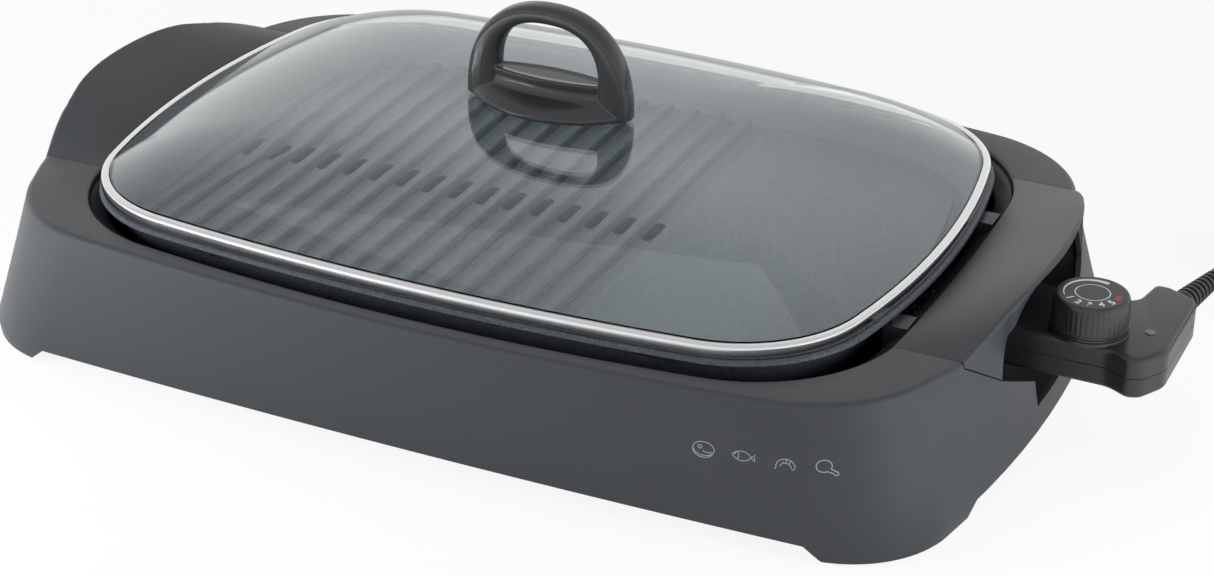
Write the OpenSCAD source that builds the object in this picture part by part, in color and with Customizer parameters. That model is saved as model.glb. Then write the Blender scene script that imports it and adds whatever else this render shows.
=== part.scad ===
// Electric indoor grill: moulded base with two arched grips, ribbed cooking plate over a tubular
// heater, domed glass lid with an arch knob, and a plug-in thermostat on a mains cord.
// X runs along the long side (thermostat at +X), Y to the back, Z up, table top at Z = 0.

/* [Housing] */
// Length of the housing at the foot of its walls
base_len = 555.4; // [500:1:620]
// Depth of the housing at the foot of its walls
base_dep = 349.4; // [310:1:390]
// How far each end wall leans in up to the deck
end_lean = 5.4; // [2:0.1:9]
// How far each long wall leans out up to the deck
side_lean = 3.7; // [1:0.1:6]
// Height of the flat deck
deck_z = 79; // [74:0.5:84]
// Height of the wall's lower edge between the feet
edge_z = 9; // [7:0.5:11]
// Wall thickness of the housing
wall_t = 3; // [2:0.1:3.5]
// Radius where the wall turns into the deck
deck_r = 2.4; // [1:0.1:3]
// Deck width at the ends, from the well's edge to the wall
deck_end_w = 47; // [44:0.5:54]
// Deck width in the middle of the long sides
deck_side_w = 10.4; // [10:0.1:14]
// Height of the well wall's lower edge
well_low_z = 34; // [30:1:38]
// Width of the ledge round the well, under the plate's rim
ledge_w = 9; // [6:0.5:10]
// Height of the ledge's upper face
ledge_z = 61; // [60:0.5:63]
// Arc radius of the housing's long sides at the deck
deck_side_r = 1515; // [1300:5:1800]
// Arc radius of the housing's ends at the deck
deck_end_r = 307; // [290:1:340]
// Corner radius of the housing at the deck
deck_corner_r = 74.7; // [65:0.5:80]

/* [Feet and floor] */
// Diameter of a foot pad
foot_d = 20; // [14:0.5:24]
// How far a pad stands out of its foot
foot_proud = 1.5; // [1:0.1:2]
// Diameter of the moulded foot round a pad
foot_boss_d = 30; // [27:0.5:32]
// Distance of the feet's middle from the end walls
foot_in_x = 37.7; // [35:0.1:43]
// Distance of the feet's middle from the long walls
foot_in_y = 38.7; // [36:0.1:44]
// Thickness of the floor
floor_t = 3; // [2:0.1:3]
// Height of the floor's upper face
floor_z = 15; // [14:0.5:16]
// Width of a vent slot in the floor
vent_w = 5; // [3:0.5:7]

/* [Grips] */
// Length of a grip moulding
grip_len = 206; // [190:1:212]
// How far the grips' middle lies behind the housing's
grip_back = 12; // [6:0.5:14]
// Height of the grip's crest over the deck
grip_rise = 22; // [14:0.5:26]
// How far the crest bows out past the wall
grip_bow = 4; // [1:0.1:4.6]
// Wall thickness of the grip
grip_t = 3; // [2:0.1:3.5]
// Height of the strip under the crest, over the hand hole
grip_strip = 4.5; // [4:0.1:6]
// Width of the hand hole
hand_w = 146; // [130:1:152]
// Height where the grip's skirt points end on the wall
skirt_z = 57; // [52:0.5:60]
// Depth of the grip cup behind the end wall
cup_depth = 30; // [26:0.5:31]
// Wall thickness of the grip cup
cup_t = 2.5; // [1.5:0.1:3]
// Gap between mouldings at a seam
seam_gap = 0.15; // [0.1:0.05:0.3]

/* [Grill plate] */
// Gap between plate and well at the ends
plate_gap_x = 2.2; // [2:0.1:5]
// Gap between plate and well at the long sides
plate_gap_y = 5.4; // [3.5:0.1:7]
// Width of the rim outside the lid's band
rim_land = 6.2; // [5.5:0.1:7]
// Height of the rim's top
rim_z = 83.4; // [83:0.1:86]
// Depth of the cooking hollow to the rib valleys
plate_depth = 21.9; // [20:0.1:23]
// Thickness of the plate's bottom
plate_t = 4.4; // [3.5:0.1:5.5]
// Height of a rib over its valley
rib_h = 3.5; // [2:0.1:4.5]
// Width of a rib's top
rib_top = 5; // [3:0.1:6]
// Width of a rib's foot
rib_foot = 8; // [7:0.1:9]
// Distance between ribs
rib_pitch = 16.2; // [15:0.1:18]
// Number of ribs
rib_count = 16; // [12:1:16]
// Width of the flat griddle zone
flat_w = 143; // [130:1:144]
// Length of a drain slot
drain_len = 22; // [14:0.5:24]
// Width of a drain slot
drain_w = 7; // [4:0.1:7.2]

/* [Heater] */
// Diameter of the heating tube
tube_d = 8; // [6:0.1:9]
// Gap between the outer runs and the edge of the plate's bottom, at the long sides
tube_gap_y = 34.4; // [30:0.1:40]
// Distance of the inner runs from the middle
run_in = 35; // [31:0.5:38]
// Gap between the end bends and the edge of the plate's bottom
tube_gap_x = 14.9; // [13:0.1:34]
// Diameter of a terminal pin
pin_d = 6; // [5:0.1:6.4]
// Distance between the two pins
pin_pitch = 26; // [24:0.5:28]

/* [Drip tray] */
// Height of the drip tray
tray_h = 20; // [14:0.5:24]
// Sheet thickness of tray, shield and guard
sheet_t = 1.2; // [0.8:0.1:1.6]
// Gap between tray and well wall
tray_gap = 12; // [9:0.5:14]

/* [Lid] */
// Thickness of the glass
glass_t = 4; // [3:0.1:4.5]
// Height of the glass top over the plate's rim
dome_h = 37.5; // [30:0.5:44]
// How full the dome is: a higher power keeps it flat further out
dome_power = 4.2; // [3.4:0.1:6]
// Width of the steel band
band_w = 4.6; // [4:0.1:5]
// Height of the steel band
band_h = 6.7; // [5.5:0.1:8]

/* [Knob] */
// Width of the arch knob
knob_w = 94.5; // [86:0.5:100]
// Thickness of the arch from front to back
knob_t = 14; // [12:0.5:17]
// Height of the knob over the glass
knob_h = 57; // [52:0.5:64]
// Width of the knob's finger hole
hole_w = 57; // [46:0.5:62]
// Height of the knob's finger hole
hole_h = 28; // [20:0.5:30]
// Depth of the knob's foot from front to back
knob_foot = 48; // [40:0.5:54]
// Diameter of the knob's screw
knob_screw_d = 5; // [4:0.1:6]

/* [Thermostat] */
// Height of the thermostat's case
case_h = 22; // [20:0.5:24]
// Width of the neck that enters the grip
neck_w = 54; // [50:0.5:57]
// Length of the neck from its shoulder to the outer block
neck_len = 63; // [60:0.5:68]
// Length of the outer block along X
block_len = 32; // [28:0.5:36]
// Wall thickness of the case
case_t = 2; // [1.6:0.1:2.4]
// Width of the contact block that passes into the housing
nose_w = 40; // [38:0.5:44]
// Height of the contact block
nose_h = 12; // [11:0.5:13]
// Diameter of the sensor rod
rod_d = 6; // [5:0.1:7]
// Length of the sensor rod in front of the case
rod_len = 93; // [80:1:96]

/* [Dial] */
// Diameter of the dial
dial_d = 38.5; // [34:0.5:39.5]
// Height of the dial
dial_h = 19.7; // [16:0.5:22]
// Distance of the dial's axis from the neck's shoulder
dial_in = 54.2; // [52:0.1:56]
// How far the dial's axis lies in front of the contact axis
dial_front = 12; // [8:0.5:13]
// Diameter of the pilot lens
pilot_d = 5; // [4:0.1:6]

/* [Cord] */
// Diameter of the cord
cord_d = 7; // [6.4:0.1:7.2]
// Length of the strain relief outside the case
relief_len = 45; // [36:0.5:54]
// Angle by which the strain relief is turned out, away from the housing
relief_turn = 12; // [6:1:16]
// Mean diameter of the cord's coil
coil_d = 78; // [76:0.5:84]
// Turns in each of the coil's two layers
coil_turns = 2; // [2:1:3]
// Distance between neighbouring turns
coil_pitch = 7.8; // [7.7:0.1:8.4]

/* [Plug] */
// Width of the plug
plug_w = 50; // [47:0.5:54]
// Length of the plug
plug_len = 48; // [44:0.5:52]
// Thickness of the plug
plug_t = 24; // [22:0.5:26]
// Distance of the live pins from the middle
blade_x = 11.1; // [11:0.1:11.2]

/* [Hidden] */
$fn = 48;

// Plans are [half length, half depth, long side radius, end radius, corner radius]
base_plan = [base_len / 2, base_dep / 2, 5000, 700, 58];
deck_plan = [base_plan[0] - end_lean, base_plan[1] + side_lean, deck_side_r, deck_end_r,
    deck_corner_r];
well_plan = [deck_plan[0] - deck_end_w, deck_plan[1] - deck_side_w, 1149, 1470, 81];
plate_plan = [well_plan[0] - plate_gap_x, well_plan[1] - plate_gap_y, 1322, 465, 75];
lid_plan = grow(plate_plan, -rim_land);
pan_plan = grow(lid_plan, -13);
plate_at = [-3, 2];
lid_at = [-4, 2.6];

// How far the feet's lower edge is tucked in under the wall
foot_tuck = 1;
foot_x = base_plan[0] - foot_in_x;
foot_y = base_plan[1] - foot_in_y;

// Number of steps along an end, a corner and a long side, in one quarter of a plan
end_steps = 4;
corner_steps = 8;
side_steps = 4;

// Housing and grip places
deck_under = deck_z - wall_t;
grip_seat_z = deck_z - 6;
apron_tip_z = deck_z - 3;
grip_half = grip_len / 2;
hand_half = hand_w / 2;
cup_x = deck_plan[0] - cup_depth - wall_t;
cup_half = hand_half + 3;
cup_floor_z = floor_z + cup_t + 0.3;
tunnel_w = nose_w + 2;
tunnel_h = nose_h + 2;
window_w = nose_w + 8;
window_h = nose_h + 7;
shoulder_x = cup_x + cup_t + 0.3;
screw_r = 1.6;

// Places of the posts that take the floor's screws
post_in = [base_plan[0] - 58.7, base_plan[1] - 34.7];
post_out_x = base_plan[0] - 127.7;
post_out_y = (side_y(well_plan, post_out_x) + side_y(deck_plan, post_out_x)) / 2;
posts = [for (sx = [-1, 1], sy = [-1, 1], p = [post_in, [post_out_x, post_out_y]])
    [sx * p[0], sy * p[1]]];
grip_screw_x = (well_plan[0] + wall_t + cup_x) / 2;
grip_screw_y = [-58, 58];

// Plate heights
valley_z = rim_z - plate_depth;
plate_under = valley_z - plate_t;
rim_under = rim_z - 2.8;
pad_top = rim_under - 0.2;
pad_h = 2;
first_rib = 29.1 - plate_plan[0];
flat_x = plate_plan[0] - 13 - flat_w;
axis_z = plate_under - tube_d / 2 - 0.1;
lug_w = 14;
lug_y = 64;
lug_x = 120;

// Drip tray heights
shield_z = floor_z + 0.2;
tray_z = shield_z + sheet_t + 0.2;

// Lid heights
band_z = rim_z + 0.3;
dome_z = rim_z + dome_h;
seat_t = 1;
knob_z = dome_z + seat_t;
knob_base_h = 5;

// Thermostat places
case_z = axis_z - 7;
block_depth = 19;
case_top = case_z + case_h;
part_z = case_z + case_h / 2;
block_x = shoulder_x + neck_len;
case_end = block_x + block_len;
dial_at = [shoulder_x + dial_in, -dial_front];
dial_z = case_top + 0.3;
relief_x = block_x + 18;
relief_y = 51;
relief_z = part_z + 1;
pilot_at = [block_x + 19, -2];
case_screw_at = [[shoulder_x + 30, 20], [block_x + 22, -18], [block_x + 27, 20]];
sleeve_d = pin_d + 3;
spring_z = axis_z - 1.8;
sleeve_x = shoulder_x - 27;
pin_end = sleeve_x + 12;
guard_x = plate_at[0] + pan_plan[0] + 3;

// Cord route from the strain relief over the table to the coil, and from the coil to the plug
cord_r = cord_d / 2;
cord_low = cord_r + 0.3;
coil_low = cord_r + 1.1;
coil_at = [430, 232];
relief_in = 9;
relief_dir = [sin(relief_turn), cos(relief_turn), 0];
relief_end = [relief_x, relief_y - relief_in, relief_z] + (relief_in + relief_len) * relief_dir;
run_points = [relief_end, relief_end + 12 * relief_dir, [342, 125, 53], [353, 144, 40],
    [367, 162, 23], [388, 178, 9]];
coil_out_r = coil_d / 2 + coil_turns * coil_pitch / 2;
plug_at = [345, 214];
plug_z = 9;

// Shift that puts the origin under the middle of the object, without its cord
home = [-(case_end - base_plan[0]) / 2, 0, 0];

// Plain helpers
function lerp(a, b, t) = a + (b - a) * t;
function grow(p, d) = [for (v = p) v + d];
function turn(r, a) = [r * cos(a), r * sin(a)];

// Centres of a plan's end, side and corner arcs, and the angles where they meet
function end_c(p) = [p[0] - p[3], 0];
function side_c(p) = [0, p[1] - p[2]];
function corner_c(p) =
    let (a = side_c(p), b = end_c(p), d = norm(b - a), ra = p[2] - p[4], rb = p[3] - p[4],
        l = (ra * ra - rb * rb + d * d) / (2 * d), h = sqrt(max(0, ra * ra - l * l)),
        u = (b - a) / d)
    a + l * u + h * [-u[1], u[0]] * -1;
function side_angle(p) = let (v = corner_c(p) - side_c(p)) atan2(v[1], v[0]);
function end_angle(p) = let (v = corner_c(p) - end_c(p)) atan2(v[1], v[0]);

// One quarter of a plan, from the middle of its end to the middle of its long side
function quarter(p) =
    let (ea = end_angle(p), sa = side_angle(p))
    [
        for (i = [0:end_steps - 1]) end_c(p) + turn(p[3], ea * i / end_steps),
        for (i = [0:corner_steps - 1]) corner_c(p) + turn(p[4], lerp(ea, sa, i / corner_steps)),
        for (i = [0:side_steps]) side_c(p) + turn(p[2], lerp(sa, 90, i / side_steps))
    ];
function outline(p) =
    let (q = quarter(p), n = len(q) - 1)
    [
        for (i = [0:n - 1]) q[i],
        for (i = [n:-1:1]) [-q[i][0], q[i][1]],
        for (i = [0:n - 1]) -q[i],
        for (i = [n:-1:1]) [q[i][0], -q[i][1]]
    ];

// Where a plan's end lies at a given Y, and its long side at a given X
function end_x(p, y) =
    let (c = corner_c(p))
    abs(y) < p[3] * sin(end_angle(p)) ? end_c(p)[0] + sqrt(p[3] * p[3] - y * y)
        : c[0] + sqrt(max(0, p[4] * p[4] - pow(abs(y) - c[1], 2)));
function side_y(p, x) =
    let (c = corner_c(p))
    abs(x) < p[2] * cos(side_angle(p)) ? side_c(p)[1] + sqrt(p[2] * p[2] - x * x)
        : c[1] + sqrt(max(0, p[4] * p[4] - pow(abs(x) - c[0], 2)));

// A plan at a height, and the housing wall's plan at any height
function ring(p, z) = [for (q = outline(p)) [q[0], q[1], z]];
function wall_ring(d, z) =
    let (a = outline(grow(base_plan, d)), b = outline(grow(deck_plan, d)),
        t = (z - edge_z) / (deck_z - edge_z))
    [for (i = [0:len(a) - 1]) [lerp(a[i][0], b[i][0], t), lerp(a[i][1], b[i][1], t), z]];
function wall_x(y, z) =
    lerp(end_x(base_plan, y), end_x(deck_plan, y), (z - edge_z) / (deck_z - edge_z));

// Solid through a list of rings with the same number of points, capped or closed on itself
module loft(rings, loop = false) {
    n = len(rings[0]);
    m = len(rings);
    points = [for (r = rings) each r];
    last = loop ? m - 1 : m - 2;
    sides = [for (i = [0:last], j = [0:n - 1], half = [0, 1])
        let (a = i * n, b = (i + 1) % m * n, k = (j + 1) % n)
        half == 0 ? [a + j, b + j, b + k] : [a + j, b + k, a + k]];
    caps = loop ? [] : [[for (j = [0:n - 1]) j], [for (j = [n - 1:-1:0]) (m - 1) * n + j]];
    polyhedron(points = points, faces = concat(sides, caps), convexity = 10);
}

// Slab with a plan's outline
module slab(p, z, h) {
    translate([0, 0, z]) linear_extrude(height = h) polygon(outline(p));
}

// Polygon corners rounded by arcs: each corner is [x, y, radius]
function rounded(corners, steps = 5) =
    let (n = len(corners))
    [for (i = [0:n - 1])
        let (p = corners[i], a = corners[(i + n - 1) % n], b = corners[(i + 1) % n],
            at = [p[0], p[1]], u = ([a[0], a[1]] - at) / norm([a[0], a[1]] - at),
            v = ([b[0], b[1]] - at) / norm([b[0], b[1]] - at),
            half = acos(max(-1, min(1, u * v))) / 2, mid = (u + v) / norm(u + v),
            c = at + mid * p[2] / sin(half), s = sign(u[0] * v[1] - u[1] * v[0]),
            start = atan2(-mid[1], -mid[0]), sweep = 90 - half)
        for (k = [0:steps]) c + turn(p[2], start + s * sweep * (1 - 2 * k / steps))];

// Slot with round ends, along Y
module slot(w, l) {
    square([w, l - w], center = true);
    for (s = [-1, 1]) translate([0, s * (l - w) / 2]) circle(d = w);
}

// Screw that points up from its head at the given height
module screw_up(at, z, l, d, head_d, head_h = 2) {
    translate([at[0], at[1], z]) {
        difference() {
            cylinder(d = head_d, h = head_h);
            translate([0, 0, -1]) cylinder(d = d * 0.6, h = 2, $fn = 6);
        }
        cylinder(d = d, h = l);
    }
}

// Pieces given in the housing's own axes are shifted to the object's origin
module placed() {
    translate(home) children();
}

module foot_pads() {
    color("#2b2b2c") placed() for (sx = [-1, 1], sy = [-1, 1])
        translate([sx * foot_x, sy * foot_y, 0]) cylinder(d = foot_d, h = 6);
}

// Closed shell: outer wall up, over the deck, down into the well and back inside
module housing_shell() {
    loft([
        ring(grow(base_plan, -foot_tuck), foot_proud),
        wall_ring(0, edge_z),
        wall_ring(0, deck_z - deck_r),
        wall_ring(-0.3 * deck_r, deck_z - 0.3 * deck_r),
        wall_ring(-deck_r, deck_z),
        ring(grow(well_plan, deck_r), deck_z),
        ring(grow(well_plan, 0.3 * deck_r), deck_z - 0.3 * deck_r),
        ring(well_plan, deck_z - deck_r),
        ring(grow(well_plan, -1.5), well_low_z),
        ring(grow(well_plan, wall_t - 1.5), well_low_z),
        ring(grow(well_plan, wall_t), deck_under),
        wall_ring(-wall_t, deck_under),
        wall_ring(-wall_t, edge_z),
        ring(grow(base_plan, -foot_tuck - wall_t), foot_proud)
    ], loop = true);
}

// Everything inside the wall's inner face
module housing_core(inset) {
    loft([wall_ring(-inset, 0), wall_ring(-inset, deck_z + 20)]);
}

// Hand hole in an end wall, seen along X; the notch is on the thermostat's end
module hand_cut(notch) {
    low = [[-35, 39], [-32, 28], [-22, 27], [-22, 20], [22, 20], [22, 27], [32, 28], [35, 39]];
    flat = [[-35, 39], [35, 39]];
    g = seam_gap;
    points = concat(
        [[-grip_half - g, deck_z + 20], [-grip_half - g, apron_tip_z - g],
            [-hand_half - g, skirt_z - g]],
        notch ? low : flat,
        [[hand_half + g, skirt_z - g], [grip_half + g, apron_tip_z - g],
            [grip_half + g, deck_z + 20]]);
    translate([cup_x + cup_t, grip_back, 0]) rotate([90, 0, 90])
        linear_extrude(height = 60) polygon(points);
}

// Deck and top of the well wall cleared for a grip, inside the end wall
module grip_clearing() {
    intersection() {
        housing_core(wall_t);
        translate([well_plan[0] - 40, grip_back - grip_half - seam_gap, grip_seat_z])
            cube([100, grip_len + 2 * seam_gap, 40]);
    }
}

module end_cuts(notch) {
    hand_cut(notch);
    grip_clearing();
}

// Gaps in the foot of the wall that leave the four corner feet
module foot_cuts() {
    translate([0, 300, 0]) rotate([90, 0, 0]) linear_extrude(height = 600)
        polygon([[16 - foot_x, -1], [foot_x - 16, -1], [foot_x - 28, edge_z],
            [28 - foot_x, edge_z]]);
    translate([-300, 0, 0]) rotate([90, 0, 90]) linear_extrude(height = 600)
        polygon([[32 - foot_y, -1], [foot_y - 32, -1], [foot_y - 42, edge_z],
            [42 - foot_y, edge_z]]);
}

// Lugs on the well wall that carry the plate's pads
module end_lugs(s) {
    inner = end_x(lid_plan, lug_y) + 1.2 + s * plate_at[0];
    face = end_x(well_plan, lug_y + lug_w / 2);
    for (sy = [-1, 1]) translate([0, sy * lug_y - lug_w / 2, 0]) {
        translate([inner, 0, 58]) cube([face - 0.6 - inner, lug_w, pad_top - pad_h - 58]);
        translate([inner, 0, 58]) cube([face + 1.4 - inner, lug_w, grip_seat_z - 58]);
    }
}

module side_lugs(s) {
    inner = side_y(lid_plan, lug_x - lug_w / 2) + 1.2 + s * plate_at[1];
    for (sx = [-1, 1]) translate([sx * lug_x - lug_w / 2, 0, 58])
        translate([0, s > 0 ? inner : -side_y(well_plan, lug_x) - 1.4, 0])
            cube([lug_w, side_y(well_plan, lug_x) + 1.4 - inner, pad_top - pad_h - 58]);
}

// Ledge round the well, from inside its wall towards the plate
module well_ledge() {
    ledge_t = 3;
    difference() {
        slab(grow(well_plan, 1), ledge_z - ledge_t, ledge_t);
        slab(grow(well_plan, -ledge_w), ledge_z - ledge_t - 1, ledge_t + 2);
    }
}

module base_housing() {
    color("#3f4144") placed() difference() {
        union() {
            difference() {
                housing_shell();
                end_cuts(true);
                mirror([1, 0, 0]) end_cuts(false);
                foot_cuts();
            }
            end_lugs(1);
            mirror([1, 0, 0]) end_lugs(-1);
            side_lugs(1);
            side_lugs(-1);
            well_ledge();
            for (p = posts) translate([p[0], p[1], floor_z + 0.2])
                cylinder(d = 9, h = deck_under + 1 - floor_z);
        }
        for (p = posts) translate([p[0], p[1], floor_z - 1]) cylinder(r = screw_r, h = 18);
        translate([well_plan[0] - 12, -window_w / 2, axis_z - window_h / 2])
            cube([18, window_w, window_h]);
    }
}

module base_floor() {
    color("#38393b") placed() difference() {
        union() {
            difference() {
                slab(grow(base_plan, -wall_t - 2.4), floor_z - floor_t, floor_t);
                for (i = [-9:9], s = [-1, 1])
                    translate([i * 18, s * 70, floor_z - floor_t - 1])
                        linear_extrude(height = floor_t + 2) slot(vent_w, 60);
            }
            for (sx = [-1, 1], sy = [-1, 1])
                translate([sx * foot_x, sy * foot_y, foot_proud + 0.5])
                    cylinder(d = foot_boss_d, h = floor_z - foot_proud - 0.5);
        }
        for (sx = [-1, 1], sy = [-1, 1]) translate([sx * foot_x, sy * foot_y, -1])
            cylinder(d = foot_d + 0.2, h = 7.1);
        for (p = posts) translate([p[0], p[1], 0]) cylinder(d = 3.6, h = floor_z + 1);
    }
}

module floor_screws() {
    color("#b8babd") placed() for (p = posts)
        screw_up(p, floor_z - floor_t - 2, 16, 2 * screw_r - 0.1, 7);
}

// Distances from the grip's middle at which its sections stand
function grip_stations() =
    let (apron = [for (i = [0:3]) lerp(grip_half, hand_half, i / 3)],
        arch = [for (f = [0.998, 0.98, 0.94, 0.88, 0.8, 0.7, 0.5, 0.25]) hand_half * f])
    concat([for (v = apron) -v], [for (v = arch) -v], [0],
        [for (i = [len(arch) - 1:-1:0]) arch[i]], [for (i = [3:-1:0]) apron[i]]);
function crest_z(v) = deck_z + grip_rise * (1 - pow(abs(v) / grip_half, 2.5));
function skirt_low(v) =
    abs(v) >= hand_half
        ? lerp(skirt_z, apron_tip_z, (abs(v) - hand_half) / (grip_half - hand_half))
        : lerp(skirt_z, deck_z + grip_rise - grip_strip,
            pow(1 - pow(abs(v) / hand_half, 6), 0.8));

// Section of the grip across the end, as X and Z
function grip_section(v) =
    let (y = grip_back + v, xi = end_x(well_plan, y) + seam_gap, zc = crest_z(v),
        xc = end_x(deck_plan, y) + grip_bow * (1 - pow(v / grip_half, 2)),
        zl = min(skirt_low(v), zc - 0.7), xl = zl < deck_z ? wall_x(y, zl) : xc,
        slope = (zc - deck_z) / (xc - xi), low = grip_seat_z + 0.05)
    [
        [xi, low], [xi, deck_z - 1], [xi + 1, deck_z + slope], [xc - 1, zc],
        [xc, zc - 0.6], [xl, zl], [xl - grip_t, zl],
        [xc - grip_t - 2, zc - slope * 2 - grip_t], [xi + grip_t, deck_z + (slope - 1) * grip_t],
        [xi + grip_t, low]
    ];

module grip_shell() {
    rings = [for (v = grip_stations()) [for (p = grip_section(v)) [p[0], grip_back + v, p[1]]]];
    loft(rings);
}

module grip() {
    difference() {
        union() {
            grip_shell();
            for (v = grip_screw_y) translate([grip_screw_x, grip_back + v, grip_seat_z + 0.05])
                cylinder(d = 8, h = deck_z - grip_seat_z + 0.6);
        }
        for (v = grip_screw_y) translate([grip_screw_x, grip_back + v, grip_seat_z - 1])
            cylinder(r = screw_r, h = 7);
    }
}

module right_grip() {
    color("#3f4144") placed() grip();
}

module left_grip() {
    color("#3f4144") placed() mirror([1, 0, 0]) grip();
}

// Cup behind the hand hole, with the shelf that the grip is screwed to
module cup_body() {
    z0 = floor_z + 0.3;
    intersection() {
        housing_core(wall_t + 1);
        difference() {
            union() {
                translate([cup_x, grip_back - cup_half - cup_t, z0])
                    cube([60, 2 * (cup_half + cup_t), grip_seat_z - z0]);
                translate([well_plan[0] + wall_t + 0.3, grip_back - grip_half + 4, grip_seat_z - 3])
                    cube([cup_x + cup_t - well_plan[0] - wall_t - 0.3, grip_len - 8, 3]);
            }
            translate([cup_x + cup_t, grip_back - cup_half, cup_floor_z])
                cube([80, 2 * cup_half, 80]);
            for (v = grip_screw_y) translate([grip_screw_x, grip_back + v, grip_seat_z - 5])
                cylinder(d = 3.6, h = 8);
        }
    }
}

module left_cup() {
    color("#343537") placed() mirror([1, 0, 0]) cup_body();
}

module right_cup() {
    x0 = well_plan[0] + wall_t + 0.3;
    color("#343537") placed() difference() {
        union() {
            cup_body();
            translate([x0, -tunnel_w / 2 - 2, axis_z - tunnel_h / 2 - 2])
                cube([cup_x + 0.5 - x0, tunnel_w + 4, tunnel_h + 4]);
        }
        translate([x0 - 1, -tunnel_w / 2, axis_z - tunnel_h / 2])
            cube([cup_x + cup_t + 2 - x0, tunnel_w, tunnel_h]);
    }
}

module grip_screws() {
    color("#b8babd") placed() for (s = [-1, 1], v = grip_screw_y)
        screw_up([s * grip_screw_x, grip_back + v], grip_seat_z - 5, 10, 2 * screw_r - 0.1, 6.5);
}

module heat_shield() {
    color("#c4c6c8") placed() difference() {
        slab(grow(well_plan, -6), shield_z, sheet_t);
        for (sx = [-1, 1], sy = [-1, 1]) translate([sx * 120, sy * 60, 0]) cylinder(d = 8, h = 30);
    }
}

module drip_tray() {
    p = grow(well_plan, -tray_gap - 1.5);
    color("#4a4c50") placed() loft([
        ring(grow(p, -14), tray_z),
        ring(grow(p, -9), tray_z + 1.5),
        ring(grow(p, -5), tray_z + tray_h - 1.5),
        ring(p, tray_z + tray_h - 1.5),
        ring(p, tray_z + tray_h),
        ring(grow(p, -5 - sheet_t), tray_z + tray_h),
        ring(grow(p, -9 - sheet_t), tray_z + 1.5 + sheet_t),
        ring(grow(p, -14), tray_z + sheet_t)
    ]);
}

// Heat-proof pads between the plate's rim and the lugs
module plate_pads() {
    ex = end_x(lid_plan, lug_y) + 1.4;
    ey = side_y(lid_plan, lug_x - lug_w / 2) + 1.4;
    color("#77797c") placed() translate([plate_at[0], 0, pad_top - pad_h]) {
        for (sx = [-1, 1], sy = [-1, 1]) {
            translate([sx * (ex + 2), sy * lug_y, pad_h / 2])
                cube([4, lug_w - 4, pad_h], center = true);
            translate([-plate_at[0] + sx * lug_x, sy * (ey + 2) + plate_at[1], pad_h / 2])
                cube([lug_w - 4, 3.6, pad_h], center = true);
        }
    }
}

module plate_body() {
    loft([
        ring(grow(pan_plan, 1), plate_under),
        ring(grow(pan_plan, 4.5), plate_under + 2),
        ring(grow(lid_plan, 0.3), rim_under),
        ring(grow(plate_plan, -0.6), rim_under),
        ring(plate_plan, rim_under + 1),
        ring(grow(plate_plan, -0.8), rim_z),
        ring(grow(lid_plan, -2.6), rim_z),
        ring(grow(lid_plan, -3.6), rim_z - 1),
        ring(grow(pan_plan, 2), valley_z + 3),
        ring(grow(pan_plan, 0.6), valley_z + 0.8),
        ring(grow(pan_plan, -2), valley_z)
    ]);
}

module plate_ribs() {
    for (i = [0:rib_count - 1]) {
        x = first_rib + i * rib_pitch - plate_at[0];
        l = 2 * side_y(grow(pan_plan, 4), abs(x) + rib_foot / 2);
        translate([x, l / 2, valley_z]) rotate([90, 0, 0]) linear_extrude(height = l)
            polygon([[-rib_foot / 2, -1], [rib_foot / 2, -1], [rib_top / 2, rib_h],
                [-rib_top / 2, rib_h]]);
    }
}

module plate_flat() {
    translate([0, 0, valley_z - 1]) linear_extrude(height = rib_h + 1) intersection() {
        polygon(outline(grow(pan_plan, -3)));
        translate([flat_x, -200]) square([300, 400]);
    }
}

module plate_drains() {
    for (i = [0:rib_count - 1])
        translate([first_rib + (i + 0.5) * rib_pitch - plate_at[0], 0, plate_under - 1])
            linear_extrude(height = plate_t + 3) slot(drain_w, drain_len);
}

module grill_plate() {
    color("#35373a") placed() translate([plate_at[0], plate_at[1], 0]) difference() {
        union() {
            plate_body();
            plate_ribs();
            plate_flat();
        }
        plate_drains();
        for (p = heater_screw_at) translate([p[0] - plate_at[0], p[1] - plate_at[1], 0])
            cylinder(d = 3.3, h = plate_under + 2.6);
    }
}

// Straight run of the heating tube between two points of its plane
module tube_run(a, b) {
    v = b - a;
    translate([a[0], a[1], axis_z]) rotate([0, 90, atan2(v[1], v[0])])
        cylinder(d = tube_d, h = norm(v));
}

// Bend of the heating tube round a centre, from one angle through a sweep
module tube_bend(c, r, start, sweep) {
    translate([c[0], c[1], axis_z]) rotate([0, 0, start]) rotate_extrude(angle = sweep)
        translate([r, 0]) circle(d = tube_d, $fn = 24);
}

// Tube's runs and bends, set from the plate's bottom
run_out = pan_plan[1] - tube_gap_y - tube_d / 2;
run_len = pan_plan[0] - tube_gap_x - tube_d / 2 - (run_out - run_in) / 2;

module heating_element() {
    mid = (run_out + run_in) / 2;
    bend = (run_out - run_in) / 2;
    lead_r = 20;
    pin_y = pin_pitch / 2;
    turn_back = 50;
    turn_x = run_len - turn_back;
    color("#6d6f72") placed() {
        for (s = [-1, 1]) {
            tube_run([-run_len, s * run_out], [run_len, s * run_out]);
            tube_run([-run_len, s * run_in], [turn_x, s * run_in]);
            tube_bend([-run_len, s * mid], bend, 90, 180);
            tube_bend([run_len, s * (run_out - lead_r)], lead_r, s > 0 ? 0 : -90, 90);
            tube_run([run_len + lead_r, s * (pin_y + lead_r)],
                [run_len + lead_r, s * (run_out - lead_r)]);
            tube_bend([run_len + 2 * lead_r, s * (pin_y + lead_r)], lead_r,
                s > 0 ? 180 : 90, 90);
            tube_run([run_len + 2 * lead_r, s * pin_y], [guard_x + 4, s * pin_y]);
        }
        tube_bend([turn_x, 0], run_in, -90, 180);
    }
}

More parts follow.
